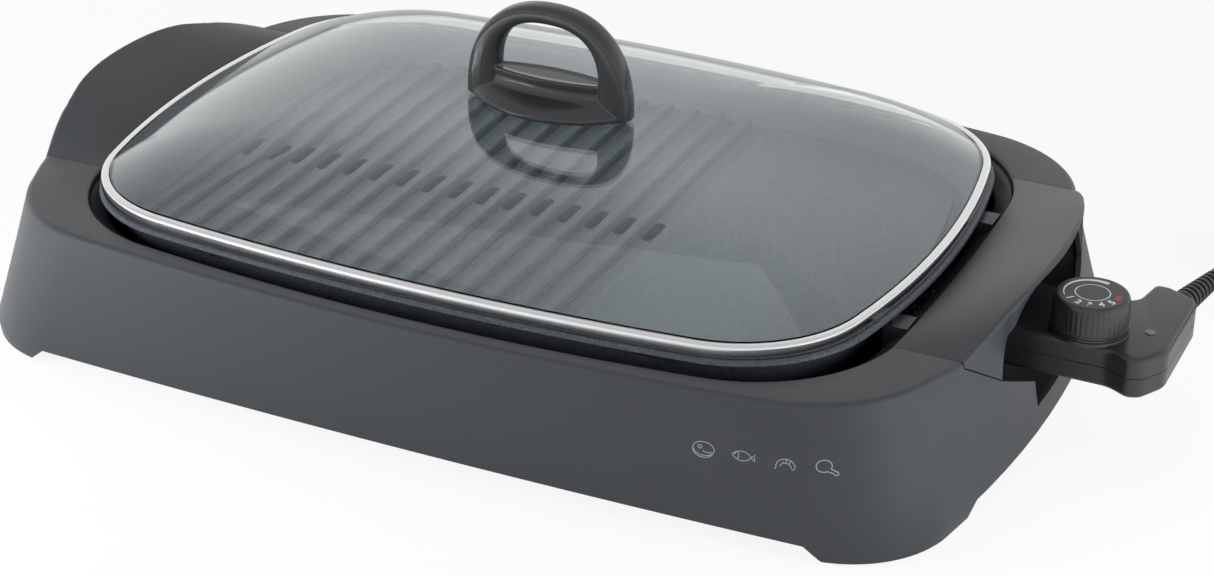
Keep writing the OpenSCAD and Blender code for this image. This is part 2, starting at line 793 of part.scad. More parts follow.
clip_at = [for (x = [-90, 60], y = [-1, 1]) [x, y * run_out], for (y = [-1, 1]) [-30, y * run_in]];
clip_foot = 9;
guard_tab_at = [guard_x - 7, 23];
heater_screw_at = concat([for (p = clip_at, s = [-1, 1]) [p[0], p[1] + s * (tube_d / 2 + 5.1)]],
    [for (s = [-1, 1]) [guard_tab_at[0], s * guard_tab_at[1]]]);

// Saddle clips that hold the heating tube up against the plate
module element_clips() {
    r = tube_d / 2 + 0.1;
    color("#9a9c9f") placed() for (p = clip_at) translate([p[0] - 5, p[1], axis_z])
        rotate([90, 0, 90]) difference() {
            linear_extrude(height = 10) difference() {
                union() {
                    circle(r = r + sheet_t);
                    translate([-r - sheet_t, 0]) square([2 * (r + sheet_t), r - 0.1]);
                    translate([-r - clip_foot, r - 0.1 - sheet_t])
                        square([2 * (r + clip_foot), sheet_t]);
                }
                circle(r = r);
                translate([-r, 0]) square([2 * r, r + 2]);
            }
            for (s = [-1, 1]) translate([s * (r + 5), 0, 5]) rotate([90, 0, 0])
                cylinder(d = 3.4, h = 20, center = true);
        }
}

module heater_screws() {
    color("#b8babd") placed() for (p = heater_screw_at)
        screw_up(p, plate_under - sheet_t - 2.1, 4.5 + sheet_t, 3.2, 6);
}

module terminal_bushes() {
    color("#e8e4da") placed() for (s = [-1, 1])
        translate([guard_x + 4.05, s * pin_pitch / 2, axis_z]) rotate([0, 90, 0]) difference() {
            cylinder(d = tube_d + 0.6, h = 5);
            translate([0, 0, -1]) cylinder(d = pin_d + 0.06, h = 8);
        }
}

module terminal_pins() {
    color("#d9dadc") placed() for (s = [-1, 1])
        translate([guard_x + 4.1, s * pin_pitch / 2, axis_z]) rotate([0, 90, 0]) {
            cylinder(d = pin_d, h = pin_end - guard_x - 7);
            translate([0, 0, pin_end - guard_x - 7]) sphere(d = pin_d, $fn = 24);
        }
}

// Sheet guard round the pins, with a flange under the plate
module terminal_guard() {
    w = window_w - 5;
    z0 = axis_z - tube_d / 2 - 4;
    color("#a6a8ab") placed() difference() {
        union() {
            translate([guard_x, -w / 2, z0]) cube([15, w, plate_under - 0.1 - z0]);
            for (s = [-1, 1]) translate([guard_x - 6.5, s * guard_tab_at[1], plate_under - 0.1])
                translate([-7.5, -4.5, -sheet_t]) cube([15, 9, sheet_t]);
        }
        translate([guard_x + sheet_t, -w / 2 + sheet_t, z0 + sheet_t])
            cube([20, w - 2 * sheet_t, plate_under]);
        for (s = [-1, 1]) translate([guard_x - 1, s * pin_pitch / 2, axis_z]) rotate([0, 90, 0])
            cylinder(d = tube_d + 0.2, h = 4);
        translate([guard_x - 1, -5, axis_z - 5]) cube([4, 10, 20]);
        for (s = [-1, 1]) translate([guard_tab_at[0], s * guard_tab_at[1], 0])
            cylinder(d = 3.4, h = 80);
    }
}

// Channel under the plate that takes the sensor rod
module sensor_channel() {
    x0 = shoulder_x - rod_len - rod_d / 2 - 1 - sheet_t;
    w = rod_d + 1.2;
    top = plate_under - 0.05;
    low = axis_z - rod_d / 2 - 1;
    color("#9a9c9f") placed() difference() {
        translate([x0, -w / 2 - sheet_t, low]) cube([guard_x - x0 - 16, w + 2 * sheet_t, top - low]);
        translate([x0 + sheet_t, -w / 2, low - 1]) cube([guard_x - x0, w, top - low + 0.4]);
    }
}

// The dome's faces: the plan shrinks about its middle as the dome rises from the band
skirt_rise = 7.5;
dome_steps = [1, 0.98, 0.95, 0.91, 0.85, 0.76, 0.64, 0.48, 0.28, 0.1];
function dome_fall(f) = (dome_h - skirt_rise) * pow(f, dome_power);
function dome_ring(f, t) =
    [for (q = outline(grow(lid_plan, -t * 0.3))) [f * q[0], f * q[1], dome_z - dome_fall(f) - t]];

module lid_glass() {
    color("#cfd8d8", 0.4) placed() translate([lid_at[0], lid_at[1], 0]) difference() {
        loft(concat(
            [for (i = [len(dome_steps) - 1:-1:0]) dome_ring(dome_steps[i], glass_t)],
            [for (f = dome_steps) dome_ring(f, 0)]
        ));
        cylinder(d = knob_screw_d + 5, h = 200);
    }
}

// Rolled steel band round the glass, standing on the plate's rim
module lid_band() {
    t = 0.6;
    p = lid_plan;
    color("#c9cbcd") placed() translate([lid_at[0], lid_at[1], 0]) loft([
        ring(grow(p, 0.6), band_z),
        ring(grow(p, band_w - 1), band_z),
        ring(grow(p, band_w), band_z + 1),
        ring(grow(p, band_w), band_z + band_h - 1.4),
        ring(grow(p, band_w - 1.4), band_z + band_h),
        ring(grow(p, 0.3), band_z + band_h),
        ring(grow(p, 0.3), band_z + band_h - t),
        ring(grow(p, band_w - 1.8), band_z + band_h - t),
        ring(grow(p, band_w - t), band_z + band_h - 1.8),
        ring(grow(p, band_w - t), band_z + 1.2),
        ring(grow(p, band_w - 1.4), band_z + t),
        ring(grow(p, 0.6), band_z + t)
    ], loop = true);
}

// Heat-proof strip that beds the glass edge in the band
module lid_gasket() {
    p = lid_plan;
    color("#3a3a3b") placed() translate([lid_at[0], lid_at[1], 0]) loft([
        ring(grow(p, 0.9), band_z + 0.8),
        ring(grow(p, band_w - 1.6), band_z + 0.8),
        ring(grow(p, band_w - 0.8), band_z + 1.4),
        ring(grow(p, band_w - 0.8), band_z + band_h - 2.1),
        ring(grow(p, band_w - 2), band_z + band_h - 0.8),
        ring(grow(p, 0.9), band_z + band_h - 0.8)
    ], loop = true);
}

// Pointed oval of two arcs, as a knob foot's plan
module lens(l, w) {
    r = (l * l + w * w) / (4 * w);
    intersection_for (s = [-1, 1]) translate([0, s * (r - w / 2)]) circle(r = r, $fn = 96);
}

// Front outline of the arch above the knob's foot
function arch_points(w, h, n, steps = 24) =
    [for (i = [0:steps]) let (a = 180 * i / steps)
        [w / 2 * sign(cos(a)) * pow(abs(cos(a)), n), h * pow(sin(a), n)]];

module lid_knob() {
    top = knob_h - seat_t;
    sill = top - 10 - hole_h;
    color("#161617") placed() translate([lid_at[0], lid_at[1], knob_z]) difference() {
        union() {
            linear_extrude(height = knob_base_h) lens(knob_w, knob_foot);
            translate([0, 0, knob_base_h - 0.01]) linear_extrude(height = sill - knob_base_h + 1)
                lens(knob_w - 7, 19);
            translate([0, knob_t / 2, 2]) rotate([90, 0, 0]) linear_extrude(height = knob_t)
                polygon(arch_points(knob_w, top - 2, 0.88));
        }
        translate([0, knob_t, sill]) rotate([90, 0, 0]) linear_extrude(height = 2 * knob_t)
            polygon(arch_points(hole_w, hole_h, 0.8));
        translate([0, 0, -1]) cylinder(d = knob_screw_d - 0.4, h = 18);
    }
}

module knob_seat() {
    color("#2b2b2c") placed() translate([lid_at[0], lid_at[1], dome_z]) difference() {
        cylinder(d = 30, h = seat_t);
        translate([0, 0, -1]) cylinder(d = knob_screw_d + 1, h = 4);
    }
}

module knob_bush() {
    color("#2b2b2c") placed() translate([lid_at[0], lid_at[1], dome_z - glass_t]) difference() {
        cylinder(d = knob_screw_d + 4.8, h = glass_t);
        translate([0, 0, -1]) cylinder(d = knob_screw_d + 0.4, h = glass_t + 2);
    }
}

module knob_washer() {
    z = dome_z - glass_t - 2;
    color("#b8babd") placed() translate([lid_at[0], lid_at[1], z]) difference() {
        cylinder(d = 24, h = 2);
        translate([0, 0, -1]) cylinder(d = knob_screw_d + 0.4, h = 4);
    }
}

module knob_screw() {
    color("#c9cbcd") placed()
        screw_up(lid_at, dome_z - glass_t - 5, 5 + glass_t + seat_t + 12, knob_screw_d - 0.5, 10, 3);
}

// Plan of the thermostat's case: a neck with a wide outer block
case_corners = [
    [shoulder_x, -neck_w / 2, 2], [block_x + 6, -neck_w / 2, 12], [block_x + 17, -33, 6],
    [case_end - 8, -31, 9], [case_end, -16, 14], [case_end - 1, 43, 6],
    [case_end - 17, relief_y, 4], [block_x + 7, relief_y, 4], [block_x + 4, 32, 8],
    [block_x - 2, neck_w / 2, 8], [shoulder_x, neck_w / 2, 2]
];

module case_plan(inset = 0) {
    offset(delta = -inset) polygon(rounded(case_corners));
}

// Openings that both halves of the case share
module case_openings() {
    translate([shoulder_x - 1, -nose_w / 2 - 0.1, axis_z - nose_h / 2 - 0.1])
        cube([block_depth + 1.2, nose_w + 0.2, nose_h + 0.2]);
    translate([relief_x, relief_y - relief_in, relief_z]) rotate([-90, 0, -relief_turn])
        cylinder(d = 12.2, h = 16);
}

module lower_case() {
    color("#1c1d1f") placed() difference() {
        union() {
            difference() {
                translate([0, 0, case_z]) linear_extrude(height = part_z - case_z) case_plan();
                translate([0, 0, case_z + case_t]) linear_extrude(height = 20) case_plan(case_t);
            }
            for (p = case_screw_at) translate([p[0], p[1], case_z])
                cylinder(d = 7, h = part_z - case_z);
        }
        case_openings();
        for (p = case_screw_at) translate([p[0], p[1], case_z - 1]) {
            cylinder(d = 3.4, h = 20);
            cylinder(d = 5.8, h = 4);
        }
    }
}

module upper_case() {
    color("#1c1d1f") placed() difference() {
        union() {
            difference() {
                translate([0, 0, part_z]) linear_extrude(height = case_top - part_z) case_plan();
                translate([0, 0, part_z - 1]) linear_extrude(height = case_top - part_z + 1 - case_t)
                    case_plan(case_t);
            }
            for (p = case_screw_at) translate([p[0], p[1], part_z])
                cylinder(d = 7, h = case_top - part_z);
        }
        case_openings();
        translate([dial_at[0], dial_at[1], part_z]) cylinder(d = 6.6, h = 40);
        translate([pilot_at[0], pilot_at[1], part_z]) cylinder(d = pilot_d + 0.1, h = 40);
        for (p = case_screw_at) translate([p[0], p[1], part_z - 1]) cylinder(d = 2.9, h = 8);
    }
}

module case_screws() {
    color("#8d8f92") placed() for (p = case_screw_at)
        screw_up(p, case_z + 1, part_z - case_z + 5, 2.8, 5.6);
}

module contact_block() {
    x0 = shoulder_x - 11;
    color("#5a3f2c") placed() difference() {
        translate([x0, -nose_w / 2, axis_z - nose_h / 2])
            cube([11 + block_depth, nose_w, nose_h]);
        for (s = [-1, 1]) translate([x0 - 1, s * pin_pitch / 2, axis_z]) rotate([0, 90, 0])
            cylinder(d = sleeve_d + 0.1, h = 40);
        translate([x0 - 1, 0, axis_z]) rotate([0, 90, 0]) cylinder(d = rod_d + 0.1, h = 40);
    }
}

module contact_sleeves() {
    color("#d9c27a") placed() for (s = [-1, 1])
        translate([sleeve_x, s * pin_pitch / 2, axis_z]) rotate([0, 90, 0]) difference() {
            cylinder(d = sleeve_d, h = shoulder_x + 21 - sleeve_x);
            translate([0, 0, -1]) cylinder(d = pin_d + 0.2, h = 31);
        }
}

module sensor_rod() {
    x0 = shoulder_x - rod_len;
    color("#c9cbcd") placed() translate([x0, 0, axis_z]) rotate([0, 90, 0]) {
        sphere(d = rod_d, $fn = 24);
        cylinder(d = rod_d, h = rod_len + 24);
        translate([0, 0, rod_len + 19.2]) cylinder(d = rod_d + 3.4, h = 1.5);
    }
}

// Bracket under the dial with the threaded collar of its spindle
module thermostat_frame() {
    color("#a6a8ab") placed() difference() {
        union() {
            translate([shoulder_x + 24, dial_at[1] - 9, case_z + case_t + 0.1])
                cube([neck_len - 28, 37, 1.6]);
            translate([shoulder_x + 28, 9.5, case_z + case_t + 1.6]) cube([6, 5, spring_z - case_z - case_t - 1.6]);
            translate([dial_at[0], dial_at[1], case_z + case_t + 0.1]) cylinder(d = 12, h = 10);
            translate([shoulder_x + 24, -rod_d, case_z + case_t + 0.1])
                cube([1.6, 2 * rod_d, 8]);
        }
        translate([dial_at[0], dial_at[1], case_z + case_t + 1.7]) cylinder(d = 6.1, h = 20);
        translate([shoulder_x + 20, 0, axis_z]) rotate([0, 90, 0]) cylinder(d = rod_d + 0.4, h = 10);
    }
}

// Two leaf springs with the switch contacts
module contact_springs() {
    color("#c98f4e") placed() for (k = [0, 1])
        translate([shoulder_x + 28, 9.5, spring_z + k * 4]) difference() {
            cube([30, 5, 0.6]);
            translate([27, 2.5, -1]) cylinder(d = 2, h = 3);
        }
}

module contact_rivets() {
    color("#d9dadc") placed() translate([shoulder_x + 28, 12, spring_z]) {
        translate([27, 0, -0.9]) cylinder(d = 1.9, h = 2.6);
        translate([27, 0, -0.9]) cylinder(d = 4, h = 0.9);
        translate([27, 0, 3]) cylinder(d = 1.9, h = 2.6);
        translate([27, 0, 4.6]) cylinder(d = 4, h = 0.9);
        translate([3, 0, 0.6]) cylinder(d = 4, h = 3.4);
    }
}

module dial_spindle() {
    color("#c9cbcd") placed() translate([dial_at[0], dial_at[1], case_z + case_t + 2]) {
        cylinder(d = 6, h = case_top + 12 - case_z - case_t - 2);
        translate([0, 0, case_top - case_z - case_t - 1.8]) cylinder(d = 7.8, h = 0.7);
    }
}

// Dial: gripped cap over a wider collar, hollow below, with a hub for the spindle
module dial() {
    grooves = 44;
    color("#1a1b1d") placed() translate([dial_at[0], dial_at[1], dial_z]) difference() {
        union() {
            cylinder(d = dial_d + 1, h = 1.6);
            cylinder(d = dial_d - 0.6, h = dial_h - 1);
            cylinder(d = dial_d - 2.4, h = dial_h);
        }
        difference() {
            translate([0, 0, -1]) cylinder(d = dial_d - 5, h = dial_h - 1.5);
            cylinder(d = 11, h = 40);
        }
        translate([0, 0, -1]) cylinder(d = 7.9, h = 1.8);
        translate([0, 0, -1]) cylinder(d = 6.1, h = 13.2);
        for (i = [0:grooves - 1]) rotate([0, 0, 360 * i / grooves])
            translate([dial_d / 2 - 0.3, 0, 4.5]) cylinder(d = 1, h = dial_h, $fn = 6);
    }
}

module dial_face() {
    color("#28292b") placed() translate([dial_at[0], dial_at[1], dial_z + dial_h])
        cylinder(d = dial_d - 4, h = 0.3);
}

module pilot_lens() {
    color("#b9bcc0") placed() translate([pilot_at[0], pilot_at[1], case_top - case_t]) {
        cylinder(d = pilot_d, h = case_t + 0.4);
        translate([0, 0, -0.8]) cylinder(d = pilot_d + 1.6, h = 0.8);
    }
}

module pilot_lamp() {
    z0 = case_z + case_t + 2;
    color("#e07b3c") placed() translate([pilot_at[0], pilot_at[1], z0]) {
        cylinder(d = 4, h = case_top - case_t - 1 - z0);
        translate([0, 0, -2]) cylinder(d = 5, h = 2.4);
    }
}

// Tube swept along points, with rings square to the path
function unit(v) = v / norm(v);
function path_dir(p, i) = unit(p[min(i + 1, len(p) - 1)] - p[max(i - 1, 0)]);
function tube_ring(c, t, r, sides) =
    let (side = unit(cross(t, abs(t[2]) > 0.9 ? [0, 1, 0] : [0, 0, 1])), up = cross(side, t))
    [for (k = [0:sides - 1]) let (a = 360 * k / sides) c + r * (cos(a) * side + sin(a) * up)];

module tube(path, r, sides) {
    n = len(path);
    loft([for (i = [n - 1:-1:0])
        let (t = i == 0 ? unit(path[1] - path[0])
            : i == n - 1 ? unit(path[n - 1] - path[n - 2]) : path_dir(path, i))
        tube_ring(path[i], t, r, sides)]);
}

// Smooth path through chosen points, with the given number of steps between two
function spline_at(a, b, c, d, t) =
    0.5 * (2 * b + (c - a) * t + (2 * a - 5 * b + 4 * c - d) * t * t
        + (3 * b - a - 3 * c + d) * t * t * t);
function spline(p, steps) =
    let (n = len(p))
    [
        for (i = [0:n - 2], k = [0:steps - 1])
            spline_at(i == 0 ? 2 * p[0] - p[1] : p[i - 1], p[i], p[i + 1],
                i == n - 2 ? 2 * p[n - 1] - p[n - 2] : p[i + 2], k / steps),
        p[n - 1]
    ];

// Insulated leads from the cord to the sleeves
module lead_wires() {
    r = 1.1;
    y0 = relief_y - 9.8;
    for (s = [-1, 1]) color(s > 0 ? "#3c5aa8" : "#7a4a2c") placed()
        tube(spline([
            [relief_x + 2 * s, y0, relief_z - 1],
            [relief_x - 6 + 2 * s, y0 - 12, relief_z + 2],
            [block_x - 2 + 3 * s, s > 0 ? 21 : 5, s > 0 ? case_top - 5 : case_top - 4],
            [shoulder_x + 34, s > 0 ? 14 : 4, s > 0 ? case_top - 5 : case_top - 4],
            [shoulder_x + 25.4, s * pin_pitch / 2, axis_z + 5],
            [shoulder_x + 22.6, s * pin_pitch / 2, axis_z + 1]
        ], 4), r, 8);
}

// Bar that pinches the cord inside the case, with two screws in one piece with it
module cord_clamp() {
    color("#5c5e61") placed() translate([relief_x, relief_y - 14, case_z + case_t + 0.05]) {
        translate([-10, -3, 0]) cube([20, 6, relief_z - cord_r - case_z - case_t - 0.2]);
        for (s = [-1, 1]) translate([s * 7.5, 0, 0]) cylinder(d = 3, h = 10);
    }
}

// Tapered, ribbed sleeve where the cord leaves the case
module strain_relief() {
    ribs = 6;
    color("#232425") placed() translate([relief_x, relief_y - relief_in, relief_z])
        rotate([-90, 0, -relief_turn]) {
            cylinder(d = 12, h = relief_in + 2);
            cylinder(d = 13, h = 1.6);
            translate([0, 0, relief_in + 2])
                cylinder(d1 = 11, d2 = cord_d + 1.6, h = relief_len - 2);
            for (i = [0:ribs - 1])
                translate([0, 0, relief_in + 4 + i * (relief_len - 8) / ribs])
                    cylinder(d = lerp(13.4, cord_d + 3.4, i / ribs), h = 2.6);
        }
}

// Coil: one unbroken tube that spirals in below, climbs and spirals out above
coil_sides = 6;
coil_rings = 24;
coil_half = coil_turns * coil_rings;
coil_in_r = coil_out_r - coil_turns * coil_pitch;
climb = coil_rings / 2;
function coil_radius(i) =
    i <= coil_half ? coil_out_r - coil_pitch * i / coil_rings
    : i <= coil_half + climb
        ? coil_in_r - coil_pitch * min(i - coil_half, coil_half + climb - i) / coil_rings
    : coil_in_r + coil_pitch * (i - coil_half - climb) / coil_rings;
function coil_height(i) =
    let (t = max(0, min(1, (i - coil_half) / climb)))
    coil_low + (cord_d + 0.8) * t * t * (3 - 2 * t);
coil_start = -90;
function coil_point(i) =
    let (a = coil_start + 360 * i / coil_rings, r = coil_radius(i))
    [coil_at[0] + r * cos(a), coil_at[1] + r * sin(a), coil_height(i)];
coil_last = 2 * coil_half + climb;
coil_path = [for (i = [0:coil_last]) coil_point(i)];
coil_gap = min([for (i = [0:coil_last - 12], j = [i + 12:coil_last])
    norm(coil_path[i] - coil_path[j])]) - cord_d;
echo(least_gap_between_turns = coil_gap);
coil_entry = [coil_path[0] - [cord_d, 0, 0], coil_path[0]];
coil_exit_dir = turn(1, coil_start + 360 * coil_last / coil_rings + 90);
coil_exit = coil_path[coil_last] + cord_d * [coil_exit_dir[0], coil_exit_dir[1], 0];

module cord_coil() {
    color("#262728") placed()
        tube(concat([coil_entry[0]], coil_path, [coil_exit]), cord_r, coil_sides);
}

// Free stretches: from the strain relief to the coil, and from the coil to the plug
feed_points = concat(run_points, [coil_entry[0] - [18, 0, 0], coil_entry[0]]);
tail_points = [coil_exit, coil_exit + 18 * [coil_exit_dir[0], coil_exit_dir[1], 0],
    [383, 278.8, 9], [364, 273.5, 5.5], [350.3, 259.6, 5.5],
    [plug_at[0], plug_at[1] + plug_len / 2 + 8, plug_z - 0.8],
    [plug_at[0], plug_at[1] + plug_len / 2, plug_z]];

module cord_run() {
    color("#262728") placed() {
        tube(spline(feed_points, 4), cord_r, 8);
        tube(spline(tail_points, 4), cord_r, 8);
    }
}

// Strap round the coil's turns
module cord_tie() {
    inner = coil_in_r - cord_r - coil_pitch / 4 - 1;
    outer = coil_out_r + cord_r + coil_pitch + 1;
    top = coil_low + cord_d + 0.8 + cord_r + 0.5;
    color("#111112") placed() translate([coil_at[0], coil_at[1], 0]) rotate([0, 0, 45])
        translate([0, -6, 0]) difference() {
            translate([inner - 0.7, 0, 0]) cube([outer - inner + 1.4, 12, top + 0.7]);
            translate([inner, -1, 0.7]) cube([outer - inner, 14, top - 0.7]);
        }
}

// The plug lies on its back, pins up, with its cord end to the back
module plug_placed() {
    placed() translate([plug_at[0], plug_at[1], 0]) rotate([0, 0, 180]) children();
}

module plug_body() {
    color("#1f2021") plug_placed() difference() {
        linear_extrude(height = plug_t) polygon(rounded([
            [-plug_w / 2 + 8, -plug_len / 2, 5], [plug_w / 2 - 8, -plug_len / 2, 5],
            [plug_w / 2, -plug_len / 4, 5], [plug_w / 2, plug_len / 2, 7],
            [-plug_w / 2, plug_len / 2, 7], [-plug_w / 2, -plug_len / 4, 5]]));
        for (s = [-1, 1]) translate([s * blade_x, -6, plug_t - 6])
            translate([-3.2, -2, 0]) cube([6.4, 4, 10]);
        translate([-2, 12, plug_t - 6]) cube([4, 8, 10]);
        translate([-5, -15, plug_t - 9]) cube([10, 26, 12]);
    }
}

module plug_pins() {
    color("#d0b36a") plug_placed() translate([0, 0, plug_t - 6]) {
        for (s = [-1, 1]) translate([s * blade_x - 3.2, -8, 0]) cube([6.4, 4, 23.7]);
        translate([-2, 12, 0]) cube([4, 8, 28.7]);
    }
}

module plug_fuse() {
    color("#d8d4c8") plug_placed() translate([0, -14.7, plug_t - 5.2])
        rotate([-90, 0, 0]) cylinder(d = 6.3, h = 25.4);
}

module fuse_cover() {
    color("#7d3030") plug_placed() translate([-4.8, -14.8, plug_t - 2])
        cube([9.6, 25.6, 2]);
}

foot_pads();
base_housing();
base_floor();
floor_screws();
left_grip();
right_grip();
left_cup();
right_cup();
grip_screws();
heat_shield();
drip_tray();
plate_pads();
grill_plate();
heating_element();
element_clips();
heater_screws();
terminal_bushes();
terminal_pins();
terminal_guard();
sensor_channel();
lid_glass();
lid_band();
lid_gasket();
lid_knob();
knob_seat();
knob_bush();
knob_washer();
knob_screw();
lower_case();
upper_case();
case_screws();
contact_block();
contact_sleeves();
sensor_rod();
thermostat_frame();
contact_springs();
contact_rivets();
dial_spindle();
dial();
dial_face();
pilot_lens();
pilot_lamp();
lead_wires();
cord_clamp();
strain_relief();
cord_run();
cord_coil();
cord_tie();
plug_body();
plug_pins();
plug_fuse();
fuse_cover();
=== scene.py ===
from math import atan2, cos, pi, radians, sin, sqrt

import bmesh
import bpy
from mathutils import Matrix, Vector


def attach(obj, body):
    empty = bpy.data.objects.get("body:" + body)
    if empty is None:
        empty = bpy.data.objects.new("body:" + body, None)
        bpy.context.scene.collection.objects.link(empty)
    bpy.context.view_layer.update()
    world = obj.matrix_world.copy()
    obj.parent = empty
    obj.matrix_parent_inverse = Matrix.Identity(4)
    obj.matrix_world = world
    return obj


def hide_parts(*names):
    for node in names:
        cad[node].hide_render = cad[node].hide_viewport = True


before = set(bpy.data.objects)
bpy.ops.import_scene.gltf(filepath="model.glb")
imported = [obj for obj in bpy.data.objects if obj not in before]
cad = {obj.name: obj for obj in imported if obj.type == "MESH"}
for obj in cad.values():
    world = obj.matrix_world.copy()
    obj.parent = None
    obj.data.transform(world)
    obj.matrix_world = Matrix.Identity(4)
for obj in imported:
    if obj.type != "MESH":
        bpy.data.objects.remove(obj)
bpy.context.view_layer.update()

# Camera
# The catalogue view: from the front right corner, a little above, with a long lens.
lens_mm = 85.674
camera = bpy.data.objects.new("camera", bpy.data.cameras.new("camera"))
camera.data.lens = lens_mm
camera.data.sensor_width = 36
camera.data.clip_start = 0.05
turned = Matrix(((0.9048, -0.2061, 0.3727), (0.4257, 0.4106, -0.8063), (0.0132, 0.8882, 0.4593)))
camera.matrix_world = Matrix.Translation((0.57489, -1.24022, 0.72999)) @ \
    turned.to_quaternion().normalized().to_matrix().to_4x4()
bpy.context.scene.collection.objects.link(camera)
bpy.context.scene.camera = camera

# Mains cord
# 3-core round mains lead, 7 mm, leaving the thermostat backwards. The stretch that hangs
# to the table is loose; the rest is wound as for storage, 4.5 turns under a strap.
MM = 0.001
HOME = -29.7  # the housing's own middle lies here along X, in the object's frame


def place(points):
    """Points in the housing's own millimetres, put into the object's frame in metres."""
    return [((p[0] + HOME) * MM, p[1] * MM, p[2] * MM) for p in points]


def spline(p, steps):
    """Smooth path through chosen points, the same one as the solids follow."""
    out = []
    for i in range(len(p) - 1):
        b, c = Vector(p[i]), Vector(p[i + 1])
        a = 2 * b - c if i == 0 else Vector(p[i - 1])
        d = 2 * c - b if i == len(p) - 2 else Vector(p[i + 2])
        for k in range(steps):
            t = k / steps
            out.append(0.5 * (2 * b + (c - a) * t + (2 * a - 5 * b + 4 * c - d) * t * t
                              + (3 * b - a - 3 * c + d) * t ** 3))
    return out + [Vector(p[-1])]


cord_d = 7.0
case_end, case_z, case_top, part_z = 337.1, 46.0, 68.0, 57.0
block_x, shoulder_x = 305.1, 242.1
relief_in, relief_len, relief_turn = 9, 45, radians(12)
relief_way = Vector((sin(relief_turn), cos(relief_turn), 0))
relief_at = Vector((323.1, 51 - relief_in, 58))
relief_end = relief_at + (relief_in + relief_len) * relief_way
coil_at, coil_out, coil_pitch, coil_low = (430, 232), 46.8, 7.8, 4.6
coil_rings, coil_turns = 24, 4.5


def coil_point(i):
    """Point of the coil: two turns in, half a turn of climb, two turns out on top."""
    half, climb = 2 * coil_rings, coil_rings // 2
    inner = coil_out - 2 * coil_pitch
    if i <= half:
        r = coil_out - coil_pitch * i / coil_rings
    elif i <= half + climb:
        r = inner - coil_pitch * min(i - half, half + climb - i) / coil_rings
    else:
        r = inner + coil_pitch * (i - half - climb) / coil_rings
    t = max(0.0, min(1.0, (i - half) / climb))
    a = radians(-90 + 360 * i / coil_rings)
    return Vector((coil_at[0] + r * cos(a), coil_at[1] + r * sin(a),
                   coil_low + (cord_d + 0.8) * t * t * (3 - 2 * t)))


coil = [coil_point(i) for i in range(int(coil_turns * coil_rings) + 1)]
entry = coil[0] - Vector((cord_d, 0, 0))
out_a = radians(-90 + 360 * coil_turns + 90)
out_way = Vector((cos(out_a), sin(out_a), 0))
leave = coil[-1] + cord_d * out_way
plug_at, plug_z, plug_len = (345, 214), 9, 48
feed = spline([relief_end, relief_end + 12 * relief_way, (342, 125, 53), (353, 144, 40),
               (367, 162, 23), (388, 178, 9), entry - Vector((18, 0, 0)), entry], 4)
tail = spline([leave, leave + 18 * out_way, (383, 278.8, 9), (364, 273.5, 5.5),
               (350.3, 259.6, 5.5), (plug_at[0], plug_at[1] + plug_len / 2 + 8, 8.2),
               (plug_at[0], plug_at[1] + plug_len / 2, plug_z)], 4)
route = place(feed + coil + tail)


def linked(name, data):
    """A new object of the scene."""
    obj = bpy.data.objects.new(name, data)
    bpy.context.scene.collection.objects.link(obj)
    return obj


def srgb(value):
    """Linear colour of an sRGB hex value."""
    parts = [int(value[i:i + 2], 16) / 255 for i in (1, 3, 5)]
    return [c / 12.92 if c <= 0.04045 else ((c + 0.055) / 1.055) ** 2.4 for c in parts] + [1]


def add(tree, kind, settings=None, **links):
    """Adds a node: settings are its properties or unlinked inputs, links are other outputs."""
    made = tree.nodes.new(kind)
    for key, value in (settings or {}).items():
        if isinstance(key, str) and hasattr(made, key):
            setattr(made, key, value)
        else:
            made.inputs[key].default_value = value
    for key, source in links.items():
        name = key.replace("_", " ").strip()
        tree.links.new(source, made.inputs[int(name) if name.isdigit() else name])
    return made


def material(name, **values):
    """A material with its Principled shader, whose plain sockets are set here."""
    mat = bpy.data.materials.new(name)
    mat.use_nodes = True
    shader = mat.node_tree.nodes["Principled BSDF"]
    for key, value in values.items():
        socket = shader.inputs[key.replace("_", " ")]
        socket.default_value = srgb(value) if isinstance(value, str) else value
    return mat, mat.node_tree, shader


# PVC cord jacket: extruded, so a soft even sheen with a faint drag grain, about 0.6 mm.
pvc, tree, shader = material("extruded_pvc", Base_Color="#29292b", Roughness=0.42)
where = add(tree, "ShaderNodeTexCoord")
grain = add(tree, "ShaderNodeTexNoise", {"Scale": 900.0, "Detail": 3.0},
            Vector=where.outputs["Object"])
bump = add(tree, "ShaderNodeBump", {"Strength": 0.12, "Distance": 0.0003}, Height=grain.outputs[0])
tree.links.new(bump.outputs[0], shader.inputs["Normal"])

line = bpy.data.curves.new("mains_cord", "CURVE")
line.dimensions = "3D"
line.bevel_depth = cord_d / 2 * MM
line.bevel_resolution = 5
run = line.splines.new("POLY")
run.points.add(len(route) - 1)
for point, at in zip(run.points, route):
    point.co = (*at, 1)
run.use_smooth = True
mains_cord = linked("mains_cord", line)
mains_cord.data.materials.append(pvc)
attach(mains_cord, "probe")
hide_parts("cord_run", "cord_coil")

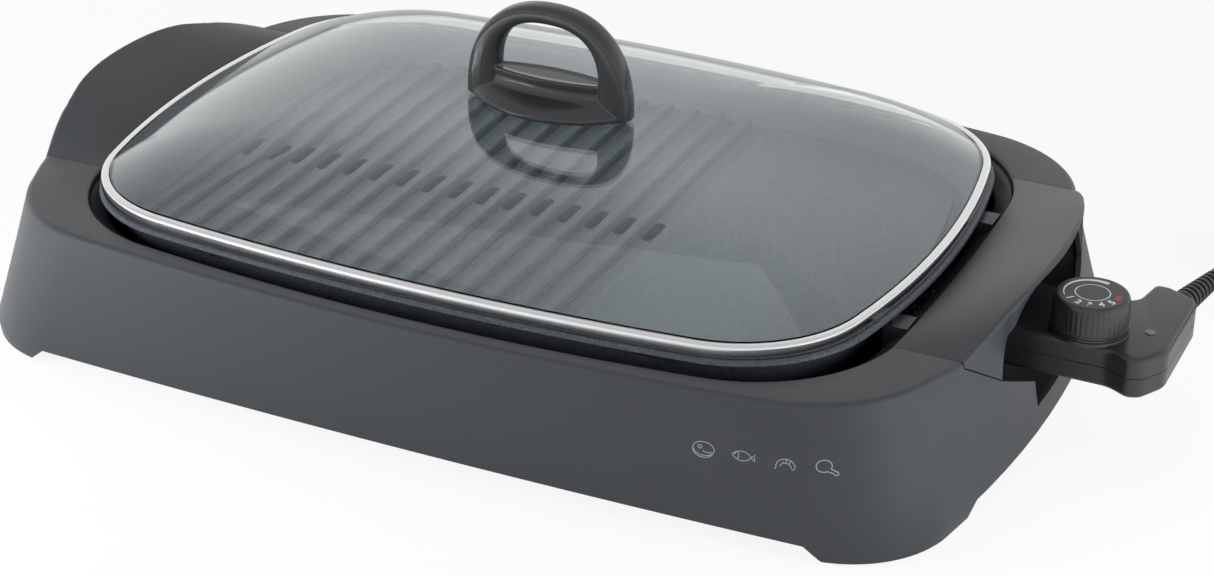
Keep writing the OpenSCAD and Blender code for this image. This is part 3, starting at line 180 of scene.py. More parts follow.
# Table and light
# Seamless white sweep, a large box above and three smaller lamps at the sides.
table_half = 6
ground = bpy.data.meshes.new("ground")
ground.from_pydata([(-table_half, -table_half, 0), (table_half, -table_half, 0),
                    (table_half, table_half, 0), (-table_half, table_half, 0)], [], [(0, 1, 2, 3)])
ground = linked("ground", ground)
paper, tree, shader = material("white_paper", Base_Color="#f4f5f6", Roughness=0.9)
path = add(tree, "ShaderNodeLightPath")
glow = add(tree, "ShaderNodeEmission", {"Color": srgb("#ffffff"), "Strength": 1.0})
ground_glow = 0.88
seen = add(tree, "ShaderNodeMath", {"operation": "MULTIPLY", 1: ground_glow},
           _0=path.outputs["Is Camera Ray"])
mixed = add(tree, "ShaderNodeMixShader", None, _0=seen.outputs[0], _1=shader.outputs[0],
            _2=glow.outputs[0])
tree.links.new(mixed.outputs[0], tree.nodes["Material Output"].inputs["Surface"])
ground.data.materials.append(paper)

world = bpy.data.worlds.new("studio")
bpy.context.scene.world = world
world.use_nodes = True
tree = world.node_tree
backdrop = tree.nodes["Background"]
backdrop.inputs["Color"].default_value = srgb("#ffffff")
path = add(tree, "ShaderNodeLightPath")
direct = add(tree, "ShaderNodeMath", {"operation": "MAXIMUM"}, _0=path.outputs["Is Camera Ray"],
             _1=path.outputs["Is Transmission Ray"])
where = add(tree, "ShaderNodeTexCoord")
height = add(tree, "ShaderNodeSeparateXYZ", None, Vector=where.outputs["Generated"])
fall = add(tree, "ShaderNodeMapRange",
           {"From Min": 0.0, "From Max": 0.75, "To Min": 1.15, "To Max": 0.6},
           Value=height.outputs["Z"])
ambient = 0.36
sheen = add(tree, "ShaderNodeMix", {0: 0.5, 2: ambient}, _0=path.outputs["Is Glossy Ray"],
            _3=fall.outputs[0])
level = add(tree, "ShaderNodeMix", {3: 1.0}, _0=direct.outputs[0], _2=sheen.outputs[0])
tree.links.new(level.outputs[0], backdrop.inputs["Strength"])

for name, at, size, power, aim in (
        ("key_box", (-0.66, -0.64, 0.28), (0.4, 0.3), 7.0, (-0.25, -0.15, 0.05)),
        ("top_box", (-0.2, 0.2, 1.8), (1.8, 1.2), 5.0, (0, 0, 0.05)),
        ("side_box", (1.5, -0.4, 0.5), (0.8, 0.8), 6.0, (0.25, 0, 0.05)),
        ("fill_card", (0.8, -0.14, 0.22), (0.3, 0.3), 2.5, (0.26, 0, 0.06))):
    lamp = bpy.data.lights.new(name, "AREA")
    lamp.shape = "RECTANGLE"
    lamp.size, lamp.size_y = size
    lamp.energy = power
    box = linked(name, lamp)
    box.location = at
    box.visible_glossy = False
    box.rotation_euler = (Vector(at) - Vector(aim)).to_track_quat("Z", "Y").to_euler()
bpy.context.scene.view_settings.view_transform = "Standard"

# Housing
# One injection moulding in charcoal ABS: leaning walls, a flat deck rolled over at its outer
# edge and into the well, four corner feet. The grips drop into cut-outs at both ends.
base_plan = [277.7, 174.7, 5000, 700, 58]
deck_plan = [272.3, 178.4, 1515, 307, 74.7]
well_plan = [225.3, 168.0, 1149, 1470, 81]
edge_z, deck_z, wall_t, deck_r = 9, 79, 3, 2.4
well_low, foot_z, ledge_w, ledge_z = 34, 1.5, 9, 61
grip_back, grip_half, hand_half, skirt_z, grip_seat = 12, 103, 73, 57, 73
cup_x, cup_t = 239.3, 2.5
plate_plan, plate_at, lid_in = [223.1, 162.6, 1322, 465, 75], (-3, 2), 6.2
tip_z = deck_z - 3


def grow(p, d):
    return [v + d for v in p]


def quarter(p, ends, corners, sides):
    """A quarter of a plan: end arc, corner arc and long side arc, each tangent to the next."""
    end, side = Vector((p[0] - p[3], 0)), Vector((0, p[1] - p[2]))
    way, ra, rb = end - side, p[2] - p[4], p[3] - p[4]
    d = way.length
    along = (ra * ra - rb * rb + d * d) / (2 * d)
    across = sqrt(max(0, ra * ra - along * along))
    u = way / d
    c = side + u * along + Vector((u.y, -u.x)) * across
    ea = atan2(c.y, c.x - end.x)
    sa = atan2(c.y - side.y, c.x)
    arc = [end + p[3] * Vector((cos(ea * i / ends), sin(ea * i / ends))) for i in range(ends)]
    for i in range(corners):
        a = ea + (sa - ea) * i / corners
        arc.append(c + p[4] * Vector((cos(a), sin(a))))
    for i in range(sides + 1):
        a = sa + (pi / 2 - sa) * i / sides
        arc.append(side + p[2] * Vector((cos(a), sin(a))))
    return arc


def outline(p, ends=6, corners=22, sides=10):
    q = quarter(p, ends, corners, sides)
    n = len(q) - 1
    return ([(v.x, v.y) for v in q[:n]] + [(-q[i].x, q[i].y) for i in range(n, 0, -1)]
            + [(-v.x, -v.y) for v in q[:n]] + [(q[i].x, -q[i].y) for i in range(n, 0, -1)])


def ring(p, z, d=0.0):
    return [(x, y, z) for x, y in outline(grow(p, d))]


def wall_ring(d, z):
    t = (z - edge_z) / (deck_z - edge_z)
    return [(a[0] + (b[0] - a[0]) * t, a[1] + (b[1] - a[1]) * t, z)
            for a, b in zip(outline(grow(base_plan, d)), outline(grow(deck_plan, d)))]


def end_x(p, y):
    """Where a plan's end lies at a given Y."""
    q = quarter(p, 24, 60, 24)
    y = abs(y)
    for a, b in zip(q, q[1:]):
        if a.y <= y <= b.y:
            return a.x + (b.x - a.x) * (y - a.y) / (b.y - a.y)
    return q[-1].x


def side_y(p, x):
    """Where a plan's long side lies at a given X."""
    q = quarter(p, 24, 60, 24)
    x = abs(x)
    for a, b in zip(q, q[1:]):
        if b.x <= x <= a.x:
            return a.y + (b.y - a.y) * (a.x - x) / (a.x - b.x)
    return 0


def wall_x(y, z):
    t = (z - edge_z) / (deck_z - edge_z)
    return end_x(base_plan, y) * (1 - t) + end_x(deck_plan, y) * t


def shell(name, points, faces, finish, sharp=32, shift=(0, 0)):
    """An object from millimetre points, smooth except at edges sharper than the given angle."""
    data = bpy.data.meshes.new(name)
    data.from_pydata(place([(p[0] + shift[0], p[1] + shift[1], p[2]) for p in points]), [], faces)
    data.update()
    data.shade_smooth()
    data.set_sharp_from_angle(angle=radians(sharp))
    obj = linked(name, data)
    data.materials.append(finish)
    return obj


def loft(rings, loop=False):
    """Points and faces of a skin through rings that have the same number of points."""
    n, m = len(rings[0]), len(rings)
    points = [p for r in rings for p in r]
    faces = []
    for i in range(m if loop else m - 1):
        a, b = i * n, (i + 1) % m * n
        for j in range(n):
            k = (j + 1) % n
            faces.append((a + j, a + k, b + k, b + j))
    if not loop:
        faces.append(tuple(range(n - 1, -1, -1)))
        faces.append(tuple((m - 1) * n + j for j in range(n)))
    return points, faces


def combine(obj, tool, how="DIFFERENCE", sharp=32):
    """Cuts a tool out of an object, or joins it, and keeps the result as its mesh."""
    step = obj.modifiers.new("step", "BOOLEAN")
    step.operation, step.object, step.solver = how, tool, "EXACT"
    made = bpy.data.meshes.new_from_object(
        obj.evaluated_get(bpy.context.evaluated_depsgraph_get()))
    obj.modifiers.clear()
    obj.data = made
    bpy.data.objects.remove(tool)
    made.shade_smooth()
    made.set_sharp_from_angle(angle=radians(sharp))


def prism(name, outline_2d, low, high, axis, finish):
    """A prism: its outline lies across the given axis, from low to high along it."""
    def at(u, v, w):
        return {"x": (w, u, v), "y": (u, w, v), "z": (u, v, w)}[axis]
    rings = [[at(u, v, w) for u, v in outline_2d] for w in (low, high)]
    points, faces = loft(rings)
    obj = shell(name, points, faces, finish)
    me = obj.data
    work = bmesh.new()
    work.from_mesh(me)
    bmesh.ops.recalc_face_normals(work, faces=work.faces)
    work.to_mesh(me)
    work.free()
    return obj


# ABS, spark-eroded mould: a satin skin whose fine pits, about 0.4 mm apart, break the
# reflections a little; large soft variations come from the flow of the plastic.
abs_skin, tree, shader = material("moulded_abs", Base_Color="#323539", Roughness=0.36, IOR=1.52)
where = add(tree, "ShaderNodeTexCoord")
pits = add(tree, "ShaderNodeTexNoise", {"Scale": 1900.0, "Detail": 2.0},
           Vector=where.outputs["Object"])
flow = add(tree, "ShaderNodeTexNoise", {"Scale": 9.0, "Detail": 3.0},
           Vector=where.outputs["Object"])
rough = add(tree, "ShaderNodeMapRange", {"To Min": 0.33, "To Max": 0.41}, Value=flow.outputs[0])
tree.links.new(rough.outputs[0], shader.inputs["Roughness"])
bump = add(tree, "ShaderNodeBump", {"Strength": 0.10, "Distance": 0.0002}, Height=pits.outputs[0])
tree.links.new(bump.outputs[0], shader.inputs["Normal"])


def roll(make, r, z, outward, steps=6):
    """Rings that roll a vertical wall over into a flat deck, or a deck down into a wall."""
    turns = [pi / 2 * i / steps for i in range(steps + 1)]
    if outward:
        return [make(-r + r * cos(a), z - r + r * sin(a)) for a in turns]
    return [make(r - r * sin(a), z - r + r * cos(a)) for a in turns]


def well_ring(d, z):
    return ring(well_plan, z, d)


housing_rings = [ring(base_plan, foot_z, -1.6), ring(base_plan, foot_z + 0.6, -1.0)]
housing_rings += [wall_ring(0, edge_z), wall_ring(0, 30), wall_ring(0, 52), wall_ring(0, 68)]
housing_rings += roll(wall_ring, deck_r, deck_z, True)
housing_rings += roll(well_ring, deck_r, deck_z, False)
housing_rings += [ring(well_plan, 76, -0.4), ring(well_plan, 75.3, -1.1),
                  ring(well_plan, 71, 0.6 - ledge_w), ring(well_plan, 70, -ledge_w),
                  ring(well_plan, ledge_z - 3, -ledge_w), ring(well_plan, ledge_z - 3, -0.65)]
housing_rings += [ring(well_plan, well_low, -1.5), ring(well_plan, well_low, 1.5),
                  ring(well_plan, deck_z - wall_t, wall_t), wall_ring(-wall_t, deck_z - wall_t),
                  wall_ring(-wall_t, edge_z), ring(base_plan, foot_z, -4)]
housing = shell("housing", *loft(housing_rings, loop=True), abs_skin)
seam = 0.35
for s in (1, -1):
    hole = [(-grip_half - seam, deck_z + 20), (-grip_half - seam, tip_z - seam),
            (-hand_half - seam, skirt_z - seam)]
    if s > 0:
        hole += [(-35, 39), (-31, 23), (31, 23), (35, 39)]
    else:
        hole += [(-35, 39), (35, 39)]
    hole += [(hand_half + seam, skirt_z - seam), (grip_half + seam, tip_z - seam),
             (grip_half + seam, deck_z + 20)]
    hole = [(grip_back + u, v) for u, v in hole]
    ends = sorted((s * (cup_x + cup_t), s * 320))
    combine(housing, prism("cut", hole, ends[0], ends[1], "x", abs_skin))
    core = shell("core", *loft([wall_ring(-wall_t, 60), wall_ring(-wall_t, 99)]), abs_skin)
    span = sorted((s * 180, s * 300))
    area = [(grip_back - grip_half - seam, grip_seat), (grip_back + grip_half + seam, grip_seat),
            (grip_back + grip_half + seam, 120), (grip_back - grip_half - seam, 120)]
    combine(core, prism("area", area, span[0], span[1], "x", abs_skin), "INTERSECT")
    combine(core, shell("well", *loft([well_ring(-0.25, 50), well_ring(-0.25, 110)]), abs_skin))
    combine(housing, core)
lug_w, lug_y, lug_low, lug_top = 14, 64, 62, 78.4
for s in (1, -1):
    inner = end_x(grow(plate_plan, -lid_in), lug_y) + 1.2 + s * plate_at[0]
    face = end_x(well_plan, lug_y + lug_w / 2) - 0.6
    for t in (lug_y, -lug_y):
        tab = [(t - lug_w / 2, lug_low), (t + lug_w / 2, lug_low), (t + lug_w / 2, lug_top),
               (t - lug_w / 2, lug_top)]
        span = sorted((s * inner, s * face))
        combine(housing, prism("lug", tab, span[0], span[1], "x", abs_skin), "UNION")
window = [(-24, 43.5), (24, 43.5), (24, 62.5), (-24, 62.5)]
combine(housing, prism("window", window, well_plan[0] - 12, well_plan[0] + 6, "x", abs_skin))
for low, high, axis in (((-224, -212), 300, "y"), ((-104, -94), 300, "x")):
    wide = [(low[0], -1), (-low[0], -1), (-low[1], edge_z), (low[1], edge_z)]
    combine(housing, prism("foot_gap", wide, -high, high, axis, abs_skin))
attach(housing, "base")

# Front pictograms
# Four small pictures of food, pad-printed in pale grey low on the front wall: steak, fish,
# prawn and drumstick, in plain strokes. The wall beside them stays bare.
stroke, lift = 0.42, 0.05


def arc_line(x, z, rx, rz, a0=0, a1=360, n=24):
    """Points of an ellipse's arc, degrees from the right and turning up."""
    turns = [radians(a0 + (a1 - a0) * i / n) for i in range(n + 1)]
    return [(x + rx * cos(a), z + rz * sin(a)) for a in turns]


pictures = (
    (161.0, 48.6, (arc_line(0, 0.4, 5.2, 3.6), arc_line(-0.2, -0.5, 5.0, 3.7, 170, 350),
                   arc_line(-1.8, 1.2, 0.9, 0.9), arc_line(1.8, -0.6, 2.2, 0.7, 190, 350))),
    (180.6, 49.0, (arc_line(-1, -2.6, 5.4, 5.2, 32, 148), arc_line(-1, 2.9, 5.4, 5.2, 212, 328),
                   arc_line(-4.6, 0.1, 2.2, 2.4, -55, 55), arc_line(-4.3, 0.9, 0.3, 0.3, n=8),
                   [(3.6, 0.2), (5.6, 2.0), (5.2, 0.1), (5.6, -1.8), (3.6, 0.1)])),
    (200.8, 49.2, (arc_line(0, -1.4, 4.6, 4.0, 10, 190), arc_line(0, -1.4, 2.6, 2.0, 0, 180),
                   [(4.6, -0.8), (3.6, -2.4), (2.6, -1.4)], [(-1.6, 1.3), (-1.0, 0.3)],
                   [(0.2, 2.5), (0.2, 0.7)], [(2.2, 2.0), (1.5, 0.3)],
                   [(-4.4, -2.0), (-5.2, -3.2)])),
    (219.0, 49.6, (arc_line(-1.2, 0.6, 3.4, 2.9, -25, 300), [(0.4, -1.9), (3.6, -3.0)],
                   [(1.9, -0.6), (4.4, -2.0)], arc_line(4.4, -2.9, 0.9, 0.9, -150, 110, 12))))
pale_ink, tree, shader = material("pale_ink", Base_Color="#9a9da0", Roughness=0.5)
where = add(tree, "ShaderNodeTexCoord")
speck = add(tree, "ShaderNodeTexNoise", {"Scale": 1500.0}, Vector=where.outputs["Object"])
tone = add(tree, "ShaderNodeValToRGB", None, Fac=speck.outputs[0])
tone.color_ramp.elements[0].color = srgb("#8c8f92")
tone.color_ramp.elements[1].color = srgb("#a8abae")
tree.links.new(tone.outputs[0], shader.inputs["Base Color"])

bpy.context.view_layer.update()
points, faces = [], []
for x0, z0, lines in pictures:
    for line_points in lines:
        first = len(points)
        for i, (u, v) in enumerate(line_points):
            a = Vector(line_points[max(0, i - 1)])
            b = Vector(line_points[min(len(line_points) - 1, i + 1)])
            side = Vector((a.y - b.y, b.x - a.x)).normalized() * stroke / 2
            for turn in (1, -1):
                x, z = x0 + u + turn * side.x, z0 + v + turn * side.y
                at = Vector(place([(x, -300, z)])[0])
                hit = housing.ray_cast(at, Vector((0, 1, 0)))[1]
                points.append((x, hit.y / MM - lift, z))
        faces += [(first + 2 * i, first + 2 * i + 1, first + 2 * i + 3, first + 2 * i + 2)
                  for i in range(len(line_points) - 1)]
pictograms = shell("front_pictograms", points, faces, pale_ink)
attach(pictograms, "base")

# Grips
# Separate arched mouldings screwed over both ends: the top slopes up from the well to a
# rounded crest, and a skirt with two pointed aprons closes over the hand hole.
grip_rise, grip_bow, grip_t, grip_strip = 22, 4, 3, 4.5


def rounded_section(corners, steps=4):
    """A section whose corners, each x, z and radius, are rounded; the point count is fixed."""
    out = []
    n = len(corners)
    for i, (x, z, r) in enumerate(corners):
        p, a, b = Vector((x, z)), Vector(corners[i - 1][:2]), Vector(corners[(i + 1) % n][:2])
        u, v = (a - p), (b - p)
        lu, lv = max(u.length, 1e-6), max(v.length, 1e-6)
        u, v = u / lu, v / lv
        half = max(0.02, u.angle(v, pi) / 2)
        cut = min(r / max(0.05, sin(half) / cos(half)), lu * 0.45, lv * 0.45)
        for k in range(steps + 1):
            t = k / steps
            q0, q1 = p + u * cut, p + v * cut
            q = q0 * (1 - t) ** 2 + p * 2 * t * (1 - t) + q1 * t * t
            out.append((q.x, q.y))
    return out


def grip_stations():
    apron = [grip_half - (grip_half - hand_half) * i / 9 for i in range(10)]
    arch = [hand_half * f for f in (0.999, 0.996, 0.99, 0.98, 0.965, 0.94, 0.91, 0.87, 0.82, 0.76,
                                    0.68, 0.6, 0.5, 0.4, 0.3, 0.2, 0.1)]
    half = apron + arch
    return [-v for v in half] + [0] + half[::-1]


def grip_section(v):
    y = grip_back + v
    xi = end_x(well_plan, y) + 0.1
    zc = deck_z + grip_rise * (1 - (abs(v) / grip_half) ** 2.5)
    xc = end_x(deck_plan, y) + grip_bow * (1 - (v / grip_half) ** 2)
    if abs(v) >= hand_half:
        zl = skirt_z + (tip_z - skirt_z) * (abs(v) - hand_half) / (grip_half - hand_half)
    else:
        zl = skirt_z + (deck_z + grip_rise - grip_strip - skirt_z) \
            * (1 - (abs(v) / hand_half) ** 6) ** 0.8
    xl = wall_x(y, zl) if zl < deck_z else xc
    slope = (zc - deck_z) / (xc - xi)
    low = grip_seat + 0.05
    return rounded_section([
        (xi, low, 0), (xi, deck_z, 1.8), (xc, zc, deck_r), (xl, zl, 0.6), (xl - grip_t, zl, 0.6),
        (xc - grip_t - 2, zc - slope * 2 - grip_t, 1.0),
        (xi + grip_t, deck_z + (slope - 1) * grip_t, 0.6),
        (xi + grip_t, low, 0)])


grips = []
for name, s in (("left", -1), ("right", 1)):
    rings = [[(s * x, grip_back + v, z) for x, z in grip_section(v)] for v in grip_stations()]
    points, faces = loft(rings)
    if s > 0:
        faces = [f[::-1] for f in faces]
    grip = shell(name + "_grip_cover", points, faces, abs_skin, sharp=38)
    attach(grip, "base")
    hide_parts(name + "_grip")
    grips.append(grip)
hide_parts("base_housing")

# Grill plate
# Die-cast aluminium under a sprayed non-stick coat: a rim that rests on pads, a hollow with
# ribs over two thirds, a raised flat zone at the thermostat's end, drain slots between ribs.
pan_in, flat_w = 13, 143
lid_plan = grow(plate_plan, -lid_in)
pan_plan = grow(lid_plan, -pan_in)
lid_at = (-4, 2.6)
rim_z, valley_z, plate_under, rim_under = 83.4, 61.5, 57.1, 80.6
rib_h, rib_top, rib_foot, rib_pitch, rib_count, first_rib = 3.5, 5, 8, 16.2, 16, -194
flat_x = plate_plan[0] - pan_in - flat_w

# PTFE coat: slate grey with fine lighter and darker grit, about 0.8 mm apart, and a dull sheen.
coat, tree, shader = material("ptfe_coat", Base_Color="#3c4045", Roughness=0.4, IOR=1.45)
where = add(tree, "ShaderNodeTexCoord")
grit = add(tree, "ShaderNodeTexNoise", {"Scale": 1100.0, "Detail": 2.0},
           Vector=where.outputs["Object"])
tone = add(tree, "ShaderNodeValToRGB", None, Fac=grit.outputs[0])
tone.color_ramp.elements[0].position, tone.color_ramp.elements[0].color = 0.36, srgb("#33363b")
tone.color_ramp.elements[1].position, tone.color_ramp.elements[1].color = 0.70, srgb("#565b63")
tree.links.new(tone.outputs[0], shader.inputs["Base Color"])
bump = add(tree, "ShaderNodeBump", {"Strength": 0.15, "Distance": 0.0002}, Height=grit.outputs[0])
tree.links.new(bump.outputs[0], shader.inputs["Normal"])

pan_rings = [ring(pan_plan, plate_under, 1), ring(pan_plan, plate_under + 2, 4.5),
             ring(lid_plan, rim_under, 0.3), ring(plate_plan, rim_under, -0.9),
             ring(plate_plan, rim_under + 0.3, -0.3), ring(plate_plan, rim_under + 0.9, 0),
             ring(plate_plan, rim_z - 0.9, -0.3), ring(plate_plan, rim_z - 0.25, -0.75),
             ring(plate_plan, rim_z, -1.5), ring(lid_plan, rim_z, -2.2),
             ring(lid_plan, rim_z - 0.25, -3.0), ring(lid_plan, rim_z - 1.2, -3.7),
             ring(pan_plan, valley_z + 3, 2), ring(pan_plan, valley_z + 1.5, 1.3),
             ring(pan_plan, valley_z + 0.6, 0.3), ring(pan_plan, valley_z + 0.1, -1.0),
             ring(pan_plan, valley_z, -2)]
plate = shell("cooking_plate", *loft(pan_rings), coat, sharp=40, shift=plate_at)
slot_r, slot_half, slot_top = 3.5, 7.5, 64.5
for i in range(rib_count):
    x = first_rib + (i + 0.5) * rib_pitch
    slot = [(x + slot_r * cos(a),
             plate_at[1] + (slot_half if sin(a) >= 0 else -slot_half) + slot_r * sin(a))
            for a in [radians(k * 20 + 0.01) for k in range(18)]]
    combine(plate, prism("slot", slot, 50, slot_top, "z", coat), sharp=40)
points, faces = [], []
for i in range(rib_count + 1):
    x0 = first_rib + i * rib_pitch
    if i < rib_count:
        half = side_y(grow(pan_plan, 4), abs(x0 - plate_at[0]) + rib_foot / 2)
        section = rounded_section([(-rib_foot / 2 - 0.3, -0.4, 0), (-rib_top / 2, rib_h, 1.1),
                                   (rib_top / 2, rib_h, 1.1), (rib_foot / 2 + 0.3, -0.4, 0)])
        rings = [[(x0 + u, plate_at[1] + y, valley_z + v) for u, v in section]
                 for y in (-half, half)]
        p, f = loft(rings)
        faces += [tuple(k + len(points) for k in face) for face in f]
        points += p
ribs = shell("plate_ribs", points, faces, coat, sharp=40)
pad = [(x, y) for x, y in outline(grow(pan_plan, -3)) if x > flat_x]
pad.sort(key=lambda q: q[1])
pad = [(flat_x, pad[0][1])] + pad + [(flat_x, pad[-1][1])]
rings = [[(x + d * (1 if x <= flat_x + 0.01 else -1 if x > 180 else 0), y, z) for x, y in pad]
         for d, z in ((0, valley_z - 1), (0, valley_z + rib_h - 0.8), (0.3, valley_z + rib_h - 0.2),
                      (0.9, valley_z + rib_h))]
flat = shell("plate_flat", *loft(rings), coat, sharp=40, shift=plate_at)
for piece in (plate, ribs, flat):
    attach(piece, "base")
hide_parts("grill_plate")

# Lid glass
# Tempered glass dome, 4 mm, with a ground edge in the steel band.
dome_z, dome_rise, dome_power, glass_t = 120.9, 30, 4.2, 4

# Soda-lime glass, toughened: clear, with a faint green cast in its thickness.
glass, tree, shader = material("tempered_glass", Base_Color="#f3fafa", Roughness=0.0, IOR=1.5,
                               Transmission_Weight=1.0)
path = add(tree, "ShaderNodeLightPath")
clear = add(tree, "ShaderNodeBsdfTransparent", {"Color": srgb("#f0f6f6")})
mixed = add(tree, "ShaderNodeMixShader", None, _0=path.outputs["Is Shadow Ray"],
            _1=shader.outputs[0], _2=clear.outputs[0])
tree.links.new(mixed.outputs[0], tree.nodes["Material Output"].inputs["Surface"])


def dome(f, t):
    z = dome_z - dome_rise * f ** dome_power - t
    return [(f * x, f * y, z) for x, y in outline(grow(lid_plan, -t * 0.3))]


dome_steps = [1, 0.993, 0.984, 0.97, 0.95, 0.925, 0.9, 0.87, 0.84, 0.8, 0.76, 0.71, 0.66, 0.6,
              0.53, 0.45, 0.36, 0.26, 0.16, 0.08]
glass_rings = [dome(f, glass_t) for f in dome_steps[::-1]] + [dome(f, 0) for f in dome_steps]
lid_glass = shell("lid_dome", *loft(glass_rings), glass, sharp=50, shift=lid_at)
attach(lid_glass, "lid")
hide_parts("lid_glass")

# Lid band
# Stainless strip, 0.6 mm, rolled round the glass edge and butt-welded at the back.
band_z, band_w, band_h = 83.7, 4.6, 6.7

# Polished stainless: mirror-like, with fine drawing lines along the strip, about 0.2 mm.
steel, tree, shader = material("polished_stainless", Base_Color="#eeeff0", Metallic=1.0,
                               Roughness=0.16)
where = add(tree, "ShaderNodeTexCoord")
stretched = add(tree, "ShaderNodeMapping", {"Scale": (30.0, 30.0, 2600.0)},
                Vector=where.outputs["Object"])
lines = add(tree, "ShaderNodeTexNoise", {"Scale": 1.0, "Detail": 3.0},
            Vector=stretched.outputs[0])
rough = add(tree, "ShaderNodeMapRange", {"To Min": 0.10, "To Max": 0.24}, Value=lines.outputs[0])
tree.links.new(rough.outputs[0], shader.inputs["Roughness"])

section = rounded_section([(0.6, 0, 0.2), (band_w, 0, 1.3), (band_w, band_h, 2.4),
                           (0.3, band_h, 0.2),
                           (0.3, band_h - 0.6, 0.2), (band_w - 0.6, band_h - 0.6, 1.8),
                           (band_w - 0.6, 0.6, 0.8), (0.6, 0.6, 0.2)], steps=6)
band = shell("lid_rim", *loft([ring(lid_plan, band_z + z, d) for d, z in section], loop=True),
             steel, sharp=50, shift=lid_at)
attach(band, "lid")
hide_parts("lid_band")

# Lid knob
# Compression-moulded black phenolic: an arch for the fingers on a pointed oval foot, one
# piece, screwed through the glass. The foot sweeps up in a hollow curve to the arch's sill.
knob_at, knob_z, knob_w, knob_top = lid_at, 121.9, 94.5, 56
sill, hole_w, hole_h, arch_half = 18, 57, 28, 7


def oval_ring(l, w, z, n=48):
    """Pointed oval of two arcs."""
    r = (l * l + w * w) / (4 * w)
    xs = [l / 2 * cos(pi * i / n) for i in range(n + 1)]
    front = [(x, sqrt(max(0, r * r - x * x)) - (r - w / 2), z) for x in xs]
    return front[:-1] + [(-x, -y, z) for x, y, _ in front[:-1]]


def arch_ring(outer, inner, n=28):
    """Soft-cornered section between an outer and an inner point of the arch."""
    out = []
    for i in range(n):
        a = 2 * pi * i / n
        u = abs(cos(a)) ** 0.62 * (1 if cos(a) >= 0 else -1)
        v = abs(sin(a)) ** 0.72 * (1 if sin(a) >= 0 else -1)
        t = (1 + u) / 2
        out.append((inner[0] + (outer[0] - inner[0]) * t, v * arch_half,
                    inner[1] + (outer[1] - inner[1]) * t))
    return out


# Phenolic resin from a polished mould: near black, very glossy, faintly wavy.
phenolic, tree, shader = material("polished_phenolic", Base_Color="#2a2b2d", Roughness=0.12,
                                  IOR=1.55)
where = add(tree, "ShaderNodeTexCoord")
wave = add(tree, "ShaderNodeTexNoise", {"Scale": 120.0, "Detail": 2.0},
           Vector=where.outputs["Object"])
rough = add(tree, "ShaderNodeMapRange", {"To Min": 0.09, "To Max": 0.17}, Value=wave.outputs[0])
tree.links.new(rough.outputs[0], shader.inputs["Roughness"])

foot = [oval_ring(l, w, z) for l, w, z in (
    (93, 47, 0), (94, 48, 0.6), (94, 48, 2.6), (93.5, 47.2, 3.1), (89, 25.5, 8.0), (87, 20.5, 9.2),
    (86, 18, 11), (85.6, 17.4, 13.4), (86, 18.6, 16.2), (85.6, 18.9, 17.2), (84.6, 18, 17.8),
    (80, 15, 17.6), (70, 9, 17.2))]
points, faces = loft(foot)
arch = []
for a in [0, 0] + [180 * i / 48 for i in range(49)] + [180, 180]:
    c, s = cos(radians(a)), max(0, sin(radians(a)))
    side = 1 if c >= 0 else -1
    arch.append([side * knob_w / 2 * abs(c) ** 0.88, 2 + (knob_top - 2) * s ** 0.88,
                 side * hole_w / 2 * abs(c) ** 0.8, sill + hole_h * s ** 0.8])
arch[0][1], arch[0][3] = 1, 1
arch[1][1], arch[1][3] = 1.5, 12
arch[-1][1], arch[-1][3] = 1, 1
arch[-2][1], arch[-2][3] = 1.5, 12
p, f = loft([arch_ring((a[0], a[1]), (a[2], a[3])) for a in arch])
faces += [tuple(k + len(points) for k in face) for face in f]
points += p
points = [(x, y, knob_z + z) for x, y, z in points]
knob = shell("arch_knob", points, faces, phenolic, sharp=180, shift=knob_at)
step = knob.modifiers.new("weld", "REMESH")
step.mode, step.voxel_size = "VOXEL", 0.00055
step = knob.modifiers.new("ease", "SMOOTH")
step.factor, step.iterations = 0.5, 4
made = bpy.data.meshes.new_from_object(knob.evaluated_get(bpy.context.evaluated_depsgraph_get()))
knob.modifiers.clear()
knob.data = made
made.shade_smooth()
if not made.materials:
    made.materials.append(phenolic)
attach(knob, "lid")
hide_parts("lid_knob")

# Thermostat case
# Two screwed halves in glossy black ABS: a neck that enters the grip and a wider outer block
# that the cord leaves backwards. The upper edge is rounded, the joint shows as a fine groove.
neck_w, relief_y = 54, 51
case_corners = [
    (shoulder_x, -neck_w / 2, 2), (block_x + 6, -neck_w / 2, 14), (block_x + 17, -33, 6),
    (case_end - 8, -31, 9), (case_end, -16, 14), (case_end - 1, 43, 6),
    (case_end - 17, relief_y, 4), (block_x + 7, relief_y, 4), (block_x + 4, 32, 8),
    (block_x - 2, neck_w / 2, 8), (shoulder_x, neck_w / 2, 2)]


def rounded_plan(corners, steps=8):
    """Plan whose corners, each x, y and radius, are rounded by arcs."""
    out = []
    n = len(corners)
    for i, (x, y, r) in enumerate(corners):
        p, a, b = Vector((x, y)), Vector(corners[i - 1][:2]), Vector(corners[(i + 1) % n][:2])
        u, v = (a - p).normalized(), (b - p).normalized()
        half = u.angle(v) / 2
        mid = (u + v).normalized()
        c = p + mid * r / sin(half)
        turn = 1 if u.x * v.y - u.y * v.x > 0 else -1
        start, sweep = atan2(-mid.y, -mid.x), pi / 2 - half
        for k in range(steps + 1):
            t = start + turn * sweep * (1 - 2 * k / steps)
            out.append((c.x + r * cos(t), c.y + r * sin(t)))
    return out


def inset(points, d):
    """The plan moved inwards, square to its edge."""
    out = []
    n = len(points)
    for i, (x, y) in enumerate(points):
        a, b = Vector(points[i - 1]), Vector(points[(i + 1) % n])
        way = (b - a).normalized()
        out.append((x - way.y * d, y + way.x * d))
    return out


